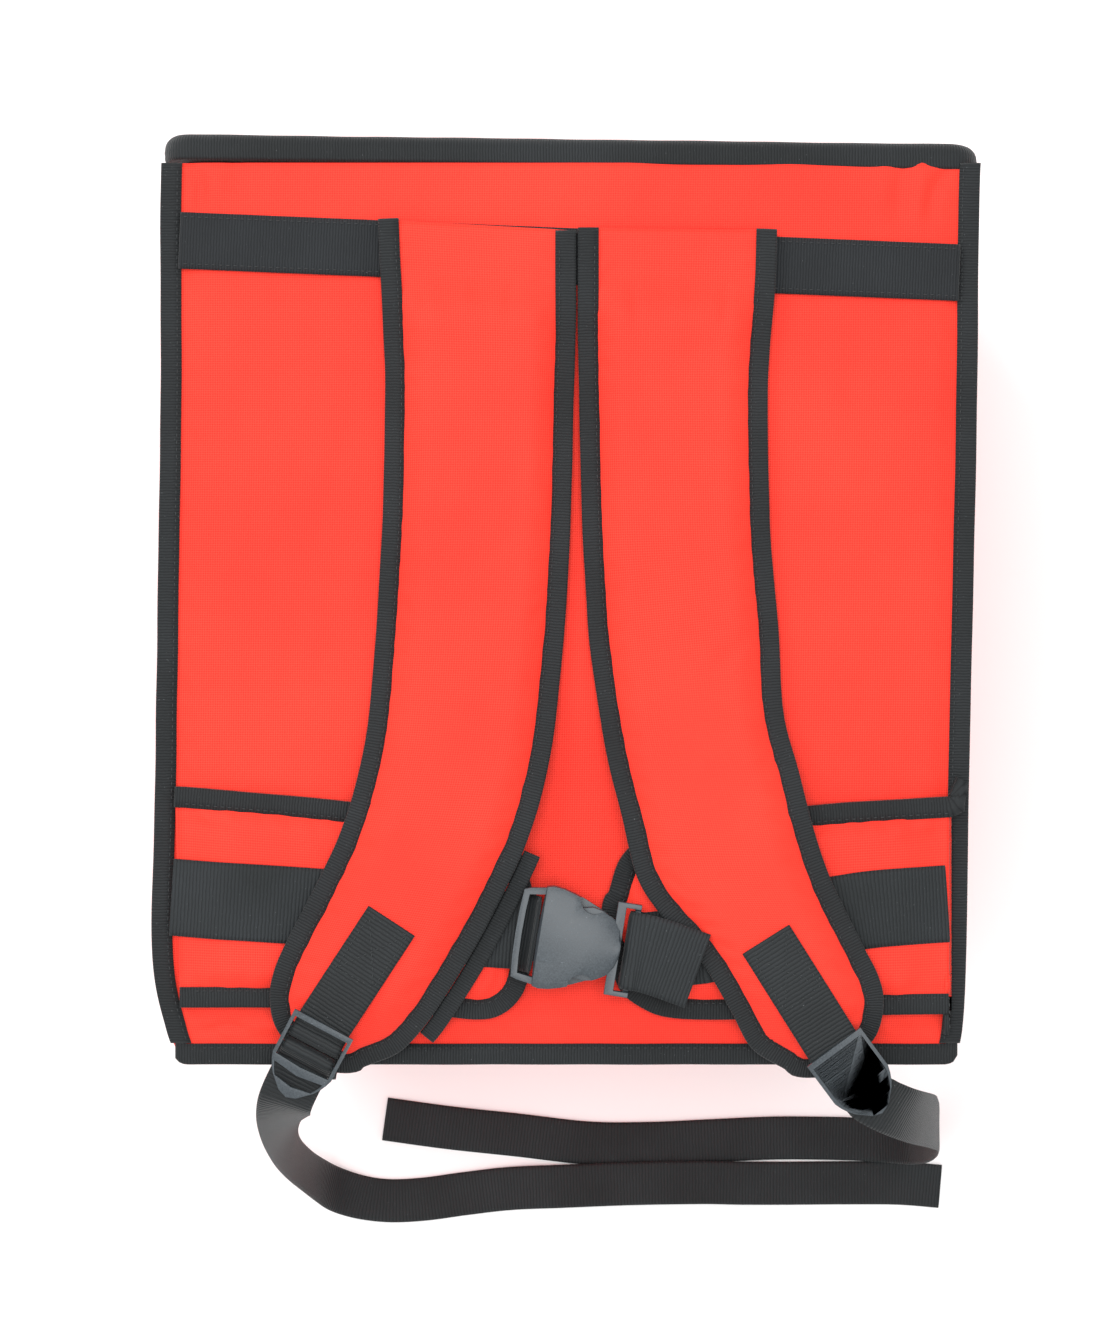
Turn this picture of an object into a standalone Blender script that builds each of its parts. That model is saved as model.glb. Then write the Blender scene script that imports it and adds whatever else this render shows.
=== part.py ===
"""Insulated delivery backpack, lying on its front panel with the shoulder straps up.

Metres. X runs across the bag, Y from its bottom to its lid, Z from the front panel up to the
back panel. The origin is the middle of the flat front face that the bag rests on.
A "down" share is measured from the lid edge to the bottom edge over HEIGHT, and an
"across" share from the middle of the bag over half of WIDTH.
"""

import math

import bmesh
import bpy
import numpy as np

# Box over its bound edges
WIDTH = 0.370
HEIGHT = 0.420
DEPTH = 0.320

# Walls, tapes and webbing
WALL = 0.0070
SIDE_BOW = 0.0050
FLANGE = 0.0024
TAPE = 0.0010
LIP = 0.0095
RAMP = 0.0040
TAPE_SET = 0.0004
GAP = 0.0003
WEB = 0.0016
WEB_WIDTH = 0.0245
BAND_WIDTH = 0.0255
BELT_WIDTH = 0.0345

# Lid
LID_RIM = 0.0135
LID_ARM = 0.0060
LID_CORNER = 0.0140

# Padded pieces
WING = 0.0080
WING_RAMP = 0.0070
STRAP = 0.0100
STRAP_RAMP = 0.0120
STRAP_FOLD = 0.0040
SEAM_SQUEEZE = 0.45
SEAM_REACH = 0.0250

# Ladder locks
LOCK_LENGTH = 0.0365
LOCK_HALF = 0.0146
LOCK_THICK = 0.0024
LOCK_RAIL = 0.0016
LOCK_SLOPE = 0.20
LOCK_RISE = 0.0216

# Side-release buckle
BUCKLE_TURN = -9.3
BUCKLE_TALL = 0.0110
BUCKLE_HALF = 0.0228
SOCKET_BAR = 0.0265
SOCKET_NOSE = 0.0205
CAVITY_LOW = 0.0030
CAVITY_HIGH = 0.0078

# Derived heights
FACE = DEPTH
EDGE = TAPE + GAP
BOUND = 2 * TAPE + 2 * GAP + FLANGE
ON_PANEL = FACE + GAP
ON_BAND = ON_PANEL + WEB + GAP
ON_WING = ON_PANEL + WING + GAP
ON_BELT = ON_WING + WEB + GAP
LID_LINE = HEIGHT / 2 - LID_RIM

# Edge of the bag seen from the back: down share, left and right shares of half the width
BAG_EDGE = (
    (0.00, 0.983, 1.017),
    (0.07, 0.988, 1.007),
    (0.29, 0.988, 1.002),
    (0.50, 0.995, 0.992),
    (0.72, 1.002, 0.981),
    (0.88, 1.009, 0.975),
    (0.96, 0.975, 0.966),
    (1.00, 0.940, 0.946),
)

# Dents of the back panel: across, down, radius as a share of WIDTH, depth as a share of WALL
PUCKERS = (
    (-0.88, 0.075, 0.035, 0.30),
    (0.86, 0.080, 0.055, 0.35),
    (-0.80, 0.985, 0.060, 0.20),
    (0.85, 0.985, 0.050, 0.20),
)

# Upper webbing band: across and down share of each end
BAND_ENDS = ((-1.0, 0.1155), (1.0, 0.1520))

# Strap outlines: across and down of the outer edge, then of the inner edge
STRAP_LEFT = (
    (-0.456, 0.096, 0.0245, 0.108),
    (-0.450, 0.152, 0.0245, 0.159),
    (-0.442, 0.226, 0.0230, 0.231),
    (-0.439, 0.290, 0.0185, 0.290),
    (-0.444, 0.403, 0.0125, 0.403),
    (-0.454, 0.488, 0.0035, 0.488),
    (-0.463, 0.546, -0.0060, 0.546),
    (-0.482, 0.640, -0.0300, 0.646),
    (-0.508, 0.698, -0.0560, 0.704),
    (-0.542, 0.748, -0.0960, 0.761),
    (-0.585, 0.789, -0.149, 0.812),
    (-0.627, 0.826, -0.197, 0.853),
    (-0.670, 0.862, -0.249, 0.893),
    (-0.702, 0.895, -0.295, 0.925),
    (-0.714, 0.925, -0.345, 0.957),
    (-0.700, 0.957, -0.405, 0.984),
    (-0.650, 0.986, -0.490, 1.000),
)
STRAP_RIGHT = (
    (0.511, 0.107, 0.0285, 0.105),
    (0.506, 0.166, 0.0285, 0.163),
    (0.495, 0.231, 0.0290, 0.231),
    (0.489, 0.290, 0.0320, 0.290),
    (0.494, 0.414, 0.0385, 0.414),
    (0.504, 0.477, 0.0475, 0.492),
    (0.516, 0.539, 0.0585, 0.555),
    (0.527, 0.624, 0.0830, 0.630),
    (0.560, 0.682, 0.105, 0.682),
    (0.592, 0.741, 0.134, 0.732),
    (0.629, 0.791, 0.169, 0.794),
    (0.669, 0.829, 0.215, 0.829),
    (0.717, 0.871, 0.279, 0.861),
    (0.751, 0.901, 0.339, 0.895),
    (0.764, 0.930, 0.400, 0.941),
    (0.748, 0.966, 0.450, 0.980),
    (0.690, 0.994, 0.535, 1.004),
)

# How a strap rides over what lies under it: down share, share of the band's height and share
# of the belt's height
STRAP_LIFT = (
    (0.09, 1.00, 0.00),
    (0.19, 1.00, 0.00),
    (0.23, 0.00, 0.00),
    (0.60, 0.00, 0.00),
    (0.68, 0.00, 0.62),
    (0.71, 0.00, 0.86),
    (0.74, 0.00, 1.03),
    (0.91, 0.00, 1.03),
    (0.94, 0.00, 0.80),
    (0.97, 0.00, 0.42),
    (1.01, 0.00, 0.15),
)

# Rows of the strap tables that the straps are built at
STRAP_STEPS = (0, 0.5, 1, 1.5, 2, 3, 4, 5, 6, 6.5, 7, 7.5, 8, 8.5, 9, 9.5, 10, 10.5, 11, 11.5, 12,
               12.5, 13, 13.5, 14, 14.5, 15, 15.5, 16)

# Waist wings from the side seam to the tip: across, down of the upper and lower edge
WING_LEFT = (
    (-0.935, 0.701, 0.937),
    (-0.750, 0.708, 0.937),
    (-0.535, 0.717, 0.939),
    (-0.330, 0.729, 0.945),
    (-0.210, 0.739, 0.950),
    (-0.150, 0.752, 0.943),
    (-0.105, 0.776, 0.922),
    (-0.082, 0.812, 0.888),
)
WING_RIGHT = (
    (0.950, 0.711, 0.944),
    (0.760, 0.716, 0.945),
    (0.584, 0.722, 0.947),
    (0.390, 0.735, 0.950),
    (0.255, 0.745, 0.948),
    (0.185, 0.755, 0.938),
    (0.130, 0.779, 0.918),
    (0.103, 0.815, 0.880),
)

# Belt webbing from the side seam towards the buckle: across and down of its middle line
BELT_LEFT = ((-0.935, 0.8190), (-0.594, 0.8290), (-0.350, 0.8400), (-0.200, 0.8510))
BELT_RIGHT = ((0.950, 0.8260), (0.723, 0.8320), (0.500, 0.8510), (0.330, 0.8690))

# Ladder locks: across and down of the middle of the upper bar, turn of the lock from -Y, and
# across and down of the upper end of the webbing patch
LOCKS = {
    "left": (-0.578, 0.949, -28.0, -0.417, 0.8405),
    "right": (0.638, 0.973, 36.5, 0.4765, 0.8600),
}

# Half width of a ladder lock along its length, as shares of LOCK_LENGTH and LOCK_HALF
LOCK_SHAPE = (
    (0.00, 1.00),
    (0.35, 1.00),
    (0.60, 1.00),
    (0.74, 0.90),
    (0.86, 0.70),
    (0.95, 0.46),
    (1.00, 0.34),
)

# Crosswise pieces of a lock: start and end as shares of its length, and whether it is a slot
LOCK_ROWS = (
    (0.00, 0.07, False),
    (0.07, 0.20, True),
    (0.20, 0.25, False),
    (0.25, 0.42, True),
    (0.42, 0.47, False),
    (0.47, 0.60, True),
    (0.60, 0.70, False),
    (0.70, 0.86, True),
    (0.86, 1.00, False),
)

# Buckle's middle: across and down share
BUCKLE_AT = (0.0195, 0.8637)

# Socket outline from the end of the slot to the nose: shares of SOCKET_NOSE and BUCKLE_HALF
SOCKET_SHAPE = (
    (-0.76, 0.97),
    (-0.62, 1.00),
    (-0.40, 0.98),
    (-0.15, 0.92),
    (0.10, 0.84),
    (0.35, 0.74),
    (0.58, 0.65),
    (0.80, 0.54),
    (0.93, 0.38),
    (1.00, 0.16),
)

# Loose webbing tails past the locks: x, y, z in metres and the turn of the width in degrees
TAIL_ROUTES = {
    "left": (
        (-0.1240, -0.2212, 0.3306, -25.0),
        (-0.1262, -0.2270, 0.3260, -16.0),
        (-0.1285, -0.2350, 0.3080, 4.0),
        (-0.1315, -0.2460, 0.2720, 28.0),
        (-0.1350, -0.2570, 0.2320, 48.0),
        (-0.1380, -0.2680, 0.1930, 62.0),
        (-0.1405, -0.2800, 0.1500, 74.0),
        (-0.1420, -0.2920, 0.1070, 83.0),
        (-0.1415, -0.3040, 0.0660, 88.0),
        (-0.1375, -0.3160, 0.0320, 90.0),
        (-0.1285, -0.3262, 0.0115, 90.0),
        (-0.1145, -0.3325, 0.0028, 90.0),
        (-0.0980, -0.3348, 0.0011, 90.0),
        (-0.0780, -0.3338, 0.0011, 92.0),
        (-0.0560, -0.3308, 0.0011, 97.0),
        (-0.0300, -0.3277, 0.0018, 95.0),
        (0.0000, -0.3262, 0.0030, 92.0),
        (0.0400, -0.3246, 0.0032, 91.0),
        (0.0800, -0.3240, 0.0032, 90.0),
        (0.1000, -0.3244, 0.0030, 90.0),
        (0.1250, -0.3248, 0.0013, 90.0),
        (0.1600, -0.3246, 0.0011, 90.0),
        (0.1920, -0.3248, 0.0011, 90.0),
        (0.2150, -0.3266, 0.0011, 86.0),
    ),
    "right": (
        (0.1420, -0.2264, 0.3298, 46.0),
        (0.1490, -0.2300, 0.3245, 55.0),
        (0.1560, -0.2336, 0.3150, 64.0),
        (0.1625, -0.2374, 0.3000, 72.0),
        (0.1685, -0.2416, 0.2800, 78.0),
        (0.1740, -0.2462, 0.2580, 83.0),
        (0.1790, -0.2515, 0.2320, 87.0),
        (0.1848, -0.2580, 0.2000, 90.0),
        (0.1905, -0.2670, 0.1600, 90.0),
        (0.1950, -0.2760, 0.1200, 90.0),
        (0.1985, -0.2850, 0.0800, 90.0),
        (0.1990, -0.2930, 0.0450, 90.0),
        (0.1940, -0.2985, 0.0190, 90.0),
        (0.1820, -0.2998, 0.0060, 90.0),
        (0.1660, -0.2996, 0.0017, 90.0),
        (0.1460, -0.2992, 0.0011, 90.0),
        (0.1180, -0.2992, 0.0011, 90.0),
        (0.0820, -0.3008, 0.0011, 90.0),
        (0.0500, -0.3022, 0.0011, 90.0),
        (0.0150, -0.3020, 0.0011, 91.0),
        (-0.0250, -0.2975, 0.0011, 95.0),
        (-0.0650, -0.2932, 0.0011, 97.0),
        (-0.1012, -0.2882, 0.0011, 98.0),
    ),
}

# Where a tail leaves its lock: length along the lock and height over its plane, metres
TAIL_START = ((0.0212, -0.0029), (0.0255, -0.0030), (0.0300, -0.0028))

RED = (0.80, 0.045, 0.020)
BLACK = (0.012, 0.013, 0.014)
PLASTIC = (0.045, 0.052, 0.058)


def empty_scene():
    for item in list(bpy.data.objects):
        bpy.data.objects.remove(item, do_unlink=True)


def finish(name, colour, roughness):
    """A plain material for one piece."""
    material = bpy.data.materials.new(name + "_finish")
    material.use_nodes = True
    shader = material.node_tree.nodes["Principled BSDF"]
    shader.inputs["Base Color"].default_value = (*colour, 1.0)
    shader.inputs["Roughness"].default_value = roughness
    shader.inputs["Metallic"].default_value = 0.0
    return material


def solid(name, points, faces, colour, roughness, smooth_degrees=35.0):
    """A closed mesh with its faces turned outwards, shaded smooth below an angle."""
    mesh = bpy.data.meshes.new(name)
    mesh.from_pydata([tuple(point) for point in points], [], faces)
    shape = bmesh.new()
    shape.from_mesh(mesh)
    bmesh.ops.recalc_face_normals(shape, faces=shape.faces)
    shape.to_mesh(mesh)
    shape.free()
    mesh.shade_smooth()
    mesh.set_sharp_from_angle(angle=math.radians(smooth_degrees))
    item = bpy.data.objects.new(name, mesh)
    bpy.context.collection.objects.link(item)
    mesh.materials.append(finish(name, colour, roughness))
    return item


def place(across, down):
    """World x and y of a point given by its shares."""
    return np.stack([np.asarray(across) * WIDTH / 2, HEIGHT / 2 - np.asarray(down) * HEIGHT], -1)


def down_of(y):
    return (HEIGHT / 2 - y) / HEIGHT


def bag_edge(side, y):
    """World x of the bag's outer edge; side is -1 on the left and 1 on the right."""
    table = np.array(BAG_EDGE)
    column = table[:, 1] if side < 0 else table[:, 2]
    return side * np.interp(down_of(y), table[:, 0], column) * WIDTH / 2


def inside_lip(side, y):
    """World x just inside the tape of the back panel's lip."""
    return bag_edge(side, y) - side * (LIP + GAP)


def smooth(rows, steps):
    """Rows of a table joined by a curve through them, read at a count of steps or at each step."""
    rows = np.asarray(rows, float)
    ends = np.vstack([2 * rows[0] - rows[1], rows, 2 * rows[-1] - rows[-2]])
    if np.isscalar(steps):
        steps = np.linspace(0, len(rows) - 1, steps)
    index = np.minimum(steps.astype(int), len(rows) - 2)
    t = (steps - index)[:, None]
    a, b, c, d = ends[index], ends[index + 1], ends[index + 2], ends[index + 3]
    curve = 2 * b + (c - a) * t + (2 * a - 5 * b + 4 * c - d) * t ** 2
    return 0.5 * (curve + (3 * b - a - 3 * c + d) * t ** 3)


def ease(share):
    """Smooth step from 0 to 1."""
    share = np.clip(share, 0.0, 1.0)
    return share * share * (3 - 2 * share)


def grid_faces(rows, columns, offset, flip):
    """Quads of a rows by columns grid of points."""
    faces = []
    for i in range(rows - 1):
        for j in range(columns - 1):
            quad = [i * columns + j, i * columns + j + 1]
            quad += [(i + 1) * columns + j + 1, (i + 1) * columns + j]
            quad = [offset + k for k in quad]
            faces.append(quad[::-1] if flip else quad)
    return faces


def slab(name, low, high, colour, roughness=0.75):
    """A solid between two grids of points with the same layout."""
    rows, columns = low.shape[:2]
    points = np.vstack([low.reshape(-1, 3), high.reshape(-1, 3)])
    count = rows * columns
    faces = grid_faces(rows, columns, 0, True) + grid_faces(rows, columns, count, False)
    rim = [j for j in range(columns)]
    rim += [i * columns + columns - 1 for i in range(1, rows)]
    rim += [(rows - 1) * columns + j for j in range(columns - 2, -1, -1)]
    rim += [i * columns for i in range(rows - 2, 0, -1)]
    for k, here in enumerate(rim):
        there = rim[(k + 1) % len(rim)]
        faces.append([here, there, there + count, here + count])
    return solid(name, points, faces, colour, roughness)


def ring_slab(name, rings, colour, roughness=0.75):
    """A solid from nested rings, each a pair of low and high outlines, outermost first."""
    count = len(rings[0][0])
    points = np.vstack([np.vstack([low, high]) for low, high in rings])
    faces = []
    for k in range(count):
        n = (k + 1) % count
        faces.append([k, n, n + count, k + count])
        for level in range(len(rings) - 1):
            here = 2 * level * count
            there = here + 2 * count
            faces.append([here + k, there + k, there + n, here + n])
            faces.append([here + count + k, here + count + n, there + count + n, there + count + k])
    last = 2 * (len(rings) - 1) * count
    faces.append([last + k for k in range(count)])
    faces.append([last + count + k for k in range(count)])
    return solid(name, points, faces, colour, roughness)


def sweep(name, path, side, up, profile, colour, roughness=0.7, closed=False, ground=None):
    """A solid with a flat profile, given along side and up, carried along a path."""
    path, side, up = (np.asarray(value, float) for value in (path, side, up))
    profile = np.asarray(profile, float)
    points = path[:, None] + side[:, None] * profile[None, :, :1] + up[:, None] * profile[None, :, 1:]
    if ground is not None:
        points[:, :, 2] += ground(points[:, :, 0], points[:, :, 1])
    count, width = points.shape[:2]
    faces = []
    for i in range(count if closed else count - 1):
        here, there = i * width, (i + 1) % count * width
        for k in range(width):
            n = (k + 1) % width
            faces.append([here + k, here + n, there + n, there + k])
    if not closed:
        faces.append(list(range(width)))
        faces.append([(count - 1) * width + k for k in range(width)])
    return solid(name, points.reshape(-1, 3), faces, colour, roughness)


def tape_profile(thick, arm):
    """Section of a tape folded round an edge, from its outer corner inwards and up."""
    return ((0, 0), (0, thick), (arm, thick), (arm, thick - TAPE), (TAPE, thick - TAPE),
            (TAPE, TAPE), (arm, TAPE), (arm, 0))


def tangents(path):
    """Unit direction at each point of a path."""
    step = np.gradient(path, axis=0)
    return step / np.linalg.norm(step, axis=1, keepdims=True)


def ribbon(name, path, across, width, colour=BLACK, roughness=0.6, thick=WEB):
    """Flat webbing along a path; across is the way its width lies."""
    path = np.asarray(path, float)
    along = tangents(path)
    across = np.broadcast_to(np.asarray(across, float), path.shape)
    across = across - along * (across * along).sum(1, keepdims=True)
    across = across / np.linalg.norm(across, axis=1, keepdims=True)
    normal = np.cross(along, across)
    half, lift = width / 2, thick / 2
    profile = ((-half, -lift), (half, -lift), (half, lift), (-half, lift))
    return sweep(name, path, across, normal, profile, colour, roughness)


def turned(degrees):
    """Level unit vector at an angle from +X."""
    angle = np.radians(degrees)
    return np.stack([np.cos(angle), np.sin(angle), np.zeros_like(angle)], -1)


def wall_rows():
    """Heights of the back panel's grid rows from the bottom edge to the lid."""
    edge = -HEIGHT / 2
    middle = HEIGHT / 2 - np.array([row[0] for row in BAG_EDGE[1:-1]]) * HEIGHT
    rows = [edge + EDGE, edge + LIP, edge + LIP + RAMP, *middle, LID_LINE - GAP]
    rows += [HEIGHT / 2 - share * HEIGHT for share in (0.10, 0.18, 0.40, 0.60, 0.80)]
    return np.array(sorted(rows))


def bound_wall(name, outer_z, outward, inner_shares, puckers):
    """Back or front wall: padded inside, pressed to a flange where the tapes fold round it."""
    y = wall_rows()
    ends = np.where(y < -HEIGHT / 2 + 2 * EDGE, -HEIGHT / 2, y)
    left, right = bag_edge(-1, ends), bag_edge(1, ends)
    steps = (EDGE, LIP, LIP + RAMP)
    columns = [left + step for step in steps]
    columns += [left + share * (right - left) for share in inner_shares]
    columns += [right - step for step in steps[::-1]]
    x = np.stack(columns, 1)
    y = np.repeat(y[:, None], x.shape[1], 1)
    pressed = np.zeros(x.shape, bool)
    pressed[:2] = True
    pressed[:, :2] = True
    pressed[:, -2:] = True
    outer = np.where(pressed, -TAPE_SET - EDGE, 0.0)
    inner = np.where(pressed, -TAPE_SET - EDGE - FLANGE, -WALL)
    for across, down, radius, depth in puckers:
        spot = place(across, down)
        far = np.hypot(x - spot[0], y - spot[1]) / (radius * WIDTH)
        outer = outer - np.where(pressed, 0.0, depth * WALL * np.exp(-far ** 2))
    high = np.stack([x, y, outer_z + outward * outer], -1)
    low = np.stack([x, y, outer_z + outward * inner], -1)
    return slab(name, low, high, RED)


def side_wall(name, side):
    """Side wall between the front and back walls, with a flange at the bottom seam."""
    edge = -HEIGHT / 2
    y = np.array([edge + EDGE, edge + LIP, edge + LIP + RAMP, -0.40 * HEIGHT, -0.25 * HEIGHT,
                  0.0, 0.25 * HEIGHT, 0.40 * HEIGHT, LID_LINE - GAP])
    z = np.linspace(WALL + GAP, FACE - WALL - GAP, 9)
    y, z = np.meshgrid(y, z, indexing="ij")
    pressed = y < edge + LIP + RAMP / 2
    round_y = np.clip((y - edge) / (LID_LINE - edge), 0, 1)
    round_z = (z - z.min()) / (z.max() - z.min())
    bow = SIDE_BOW * 16 * round_y * (1 - round_y) * round_z * (1 - round_z)
    face = bag_edge(side, np.where(pressed, edge + LIP / 2, y)) - side * LIP
    outer = np.where(pressed, -TAPE_SET - EDGE, bow)
    inner = np.where(pressed, -TAPE_SET - EDGE - FLANGE, bow - WALL)
    high = np.stack([face + side * outer, y, z], -1)
    low = np.stack([face + side * inner, y, z], -1)
    return slab(name, low, high, RED)


def bottom_wall():
    """Wall at the low end, between the two side walls."""
    outer_y = -HEIGHT / 2 + LIP
    depths = np.array([outer_y, outer_y + WALL])
    left = max(bag_edge(-1, depths)) + LIP + WALL + GAP
    right = min(bag_edge(1, depths)) - LIP - WALL - GAP
    x, z = np.meshgrid(np.linspace(left, right, 9), np.linspace(WALL + GAP, FACE - WALL - GAP, 9),
                       indexing="ij")
    round_x = (x - left) / (right - left)
    round_z = (z - z.min()) / (z.max() - z.min())
    bow = SIDE_BOW * 16 * round_x * (1 - round_x) * round_z * (1 - round_z)
    high = np.stack([x, outer_y - bow, z], -1)
    low = np.stack([x, outer_y + WALL - bow, z], -1)
    return slab("bottom_panel", low, high, RED)


def lid_outline(inset):
    """Rounded outline of the lid in x and z, with its inward directions."""
    left = bag_edge(-1, LID_LINE) + inset
    right = bag_edge(1, LID_LINE) - inset
    low, high = TAPE_SET + inset, FACE - inset
    radius = max(LID_CORNER - inset, LID_CORNER * 0.3)
    corners = ((right, high, 0), (left, high, 90), (left, low, 180), (right, low, 270))
    points, inward = [], []
    for x, z, start in corners:
        middle = (x - math.copysign(radius, x), z - math.copysign(radius, z - FACE / 2))
        for angle in np.radians(start + np.linspace(0, 90, 6)):
            points.append((middle[0] + radius * math.cos(angle), middle[1] + radius * math.sin(angle)))
            inward.append((-math.cos(angle), -math.sin(angle)))
    return np.array(points), np.array(inward)


def lid():
    """Padded lid and the tape round its rim."""
    top, foot = HEIGHT / 2, LID_LINE
    rings = []
    for inset, sunk in ((EDGE, EDGE), (LID_ARM + GAP, EDGE), (LID_ARM + RAMP, 0.0), (0.05, 0.0)):
        outline = lid_outline(inset)[0]
        low = np.stack([outline[:, 0], np.full(len(outline), foot + sunk), outline[:, 1]], -1)
        high = np.stack([outline[:, 0], np.full(len(outline), top - sunk), outline[:, 1]], -1)
        rings.append((low, high))
    ring_slab("lid_panel", rings, RED)
    outline, inward = lid_outline(0.0)
    path = np.stack([outline[:, 0], np.full(len(outline), foot), outline[:, 1]], -1)
    side = np.stack([inward[:, 0], np.zeros(len(inward)), inward[:, 1]], -1)
    up = np.broadcast_to((0.0, 1.0, 0.0), path.shape)
    sweep("lid_binding", path, side, up, tape_profile(LID_RIM, LID_ARM), BLACK, closed=True)


def edge_tape(name, x, y, z, side, colour=BLACK):
    """Tape round a lip of the bag; side is the inward direction, z its underside."""
    path = np.stack(np.broadcast_arrays(x, y, z), -1).astype(float)
    direction = np.broadcast_to(np.asarray(side, float), path.shape)
    up = np.broadcast_to((0.0, 0.0, 1.0), path.shape)
    return sweep(name, path, direction, up, tape_profile(BOUND, LIP), colour)


def bag_tapes():
    """Tapes round the lips of the back and front walls and on the two bottom corner seams."""
    foot = -HEIGHT / 2
    rows = wall_rows()
    y = np.array([foot + LIP + GAP, *rows[rows > foot + LIP + RAMP]])
    back_z = FACE - TAPE_SET - BOUND
    for word, side in (("left", -1), ("right", 1)):
        edge_tape("back_binding_" + word, bag_edge(side, y), y, back_z, (-side, 0, 0))
    ends = np.array([bag_edge(-1, foot + LIP / 2), 0.0, bag_edge(1, foot + LIP / 2)])
    edge_tape("back_binding_bottom", ends, foot, back_z, (0, 1, 0))

    # The front tape is one length, folded square round both bottom corners
    sides = rows[rows > foot + LIP - GAP]
    down = [(bag_edge(-1, v), v, 1.0, 0.0) for v in sides[::-1]]
    corners = [(bag_edge(-1, foot), foot, 1.0, 1.0), (bag_edge(1, foot), foot, -1.0, 1.0)]
    back_up = [(bag_edge(1, v), v, -1.0, 0.0) for v in sides]
    line = np.array(down + corners + back_up)
    path = np.column_stack([line[:, :2], np.full(len(line), TAPE_SET)])
    side = np.column_stack([line[:, 2:], np.zeros(len(line))])
    up = np.broadcast_to((0.0, 0.0, 1.0), path.shape)
    sweep("front_binding", path, side, up, tape_profile(BOUND, LIP), BLACK)

    z = np.array([TAPE_SET + BOUND + GAP, FACE / 2, back_z - GAP])
    for word, side in (("left", -1), ("right", 1)):
        x = bag_edge(side, foot + LIP / 2) - side * (LIP + TAPE_SET)
        path = np.stack(np.broadcast_arrays(x, foot, z), -1).astype(float)
        inward = np.broadcast_to((0.0, 1.0, 0.0), path.shape)
        up = np.broadcast_to((-side, 0.0, 0.0), path.shape)
        sweep("corner_binding_" + word, path, inward, up, tape_profile(BOUND, LIP), BLACK)


def pad_outline(pairs):
    """Open outline down the first edge and back up the second, with inward directions."""
    first, second = pairs[:, :2], pairs[:, 2:]
    outline = np.vstack([first, second[::-1]])
    along = tangents(np.column_stack([outline, np.zeros(len(outline))]))
    inward = np.column_stack([along[:, 1], -along[:, 0]])
    middle = outline.mean(0)
    if ((middle - outline) * inward).sum() < 0:
        inward = -inward
    return outline, inward


def edge_distance(x, y, outline):
    """Distance of grid points from an outline."""
    points = np.stack([x, y], -1)[..., None, :]
    start, step = outline[:-1], np.diff(outline, axis=0)
    share = ((points - start) * step).sum(-1) / (step ** 2).sum(-1)
    nearest = start + np.clip(share, 0, 1)[..., None] * step
    return np.linalg.norm(points - nearest, axis=-1).min(-1)


def pad_height(far, full, ramp):
    """Height of a pad above its underside at a distance from its bound edge."""
    pressed = EDGE + FLANGE
    return pressed + (full - pressed) * ease((far - LIP) / ramp)


def bound_pad(name, pairs, lift, full, ramp, squeeze):
    """Padded piece with bound edges; lift gives its underside and squeeze its fullness."""
    outline, inward = pad_outline(pairs)
    inset = outline + inward * EDGE
    count = len(pairs)
    first, second = inset[:count], inset[::-1][:count]
    width = np.linalg.norm(second - first, axis=1)
    cross = (second - first) / width[:, None]
    square = np.stack([(cross * inward[:count]).sum(1), -(cross * inward[::-1][:count]).sum(1)])
    near = (LIP + GAP - EDGE) / np.maximum(square, 0.5) / width
    near = np.minimum(near, 0.40)
    whole = np.minimum(near + ramp / width, 0.46)
    shares = np.stack([0 * width, near[0], whole[0], 0 * width + 0.5, 1 - whole[1], 1 - near[1],
                       0 * width + 1.0], 1)
    x = first[:, :1] + (second - first)[:, :1] * shares
    y = first[:, 1:] + (second - first)[:, 1:] * shares
    far = edge_distance(x, y, outline)
    under = lift(x, y)

    # Grid points next to the tape's arms stay pressed, so the pad clears the tape
    taped = np.pad(far < LIP - TAPE, 1)
    beside = [taped[1 + i:taped.shape[0] - 1 + i, 1 + j:taped.shape[1] - 1 + j]
              for i in (-1, 0, 1) for j in (-1, 0, 1)]
    far = np.where(np.any(beside, axis=0), 0.0, far)
    high_z = under + pad_height(far, full * squeeze[:, None], ramp)
    low_z = under + EDGE * (1 - ease((far - LIP) / ramp))
    slab(name, np.stack([x, y, low_z], -1), np.stack([x, y, high_z], -1), RED)
    path = np.column_stack([outline, np.zeros(len(outline))])
    side = np.column_stack([inward, np.zeros(len(inward))])
    up = np.broadcast_to((0.0, 0.0, 1.0), path.shape)
    binding = name.replace("waist_wing", "wing_binding").replace("strap", "strap_binding")
    sweep(binding, path, side, up, tape_profile(BOUND, LIP - EDGE), BLACK, ground=lift)


def strap_under(x, y):
    """Underside of the shoulder straps over the band, the panel and the belt."""
    table = np.array(STRAP_LIFT)
    down = down_of(y)
    band = np.interp(down, table[:, 0], table[:, 1]) * (ON_BAND - ON_PANEL)
    belt = np.interp(down, table[:, 0], table[:, 2]) * (ON_BELT - ON_PANEL)
    return ON_PANEL + band + belt + 0 * x


def strap_pairs(table):
    """World outline pairs of a strap from its table."""
    rows = smooth(table, np.array(STRAP_STEPS))
    return np.column_stack([place(rows[:, 0], rows[:, 1]), place(rows[:, 2], rows[:, 3])])


def strap_squeeze(pairs):
    """Share of full padding along a strap: folded flat where it is sewn down."""
    down = down_of(pairs[:, 1])
    flat = STRAP_FOLD / STRAP
    return flat + (1 - flat) * ease((down - down[0] - 0.045) / 0.07)


def straps():
    for word, table in (("left", STRAP_LEFT), ("right", STRAP_RIGHT)):
        pairs = strap_pairs(table)
        bound_pad("strap_" + word, pairs, strap_under, STRAP, STRAP_RAMP, strap_squeeze(pairs))


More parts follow.
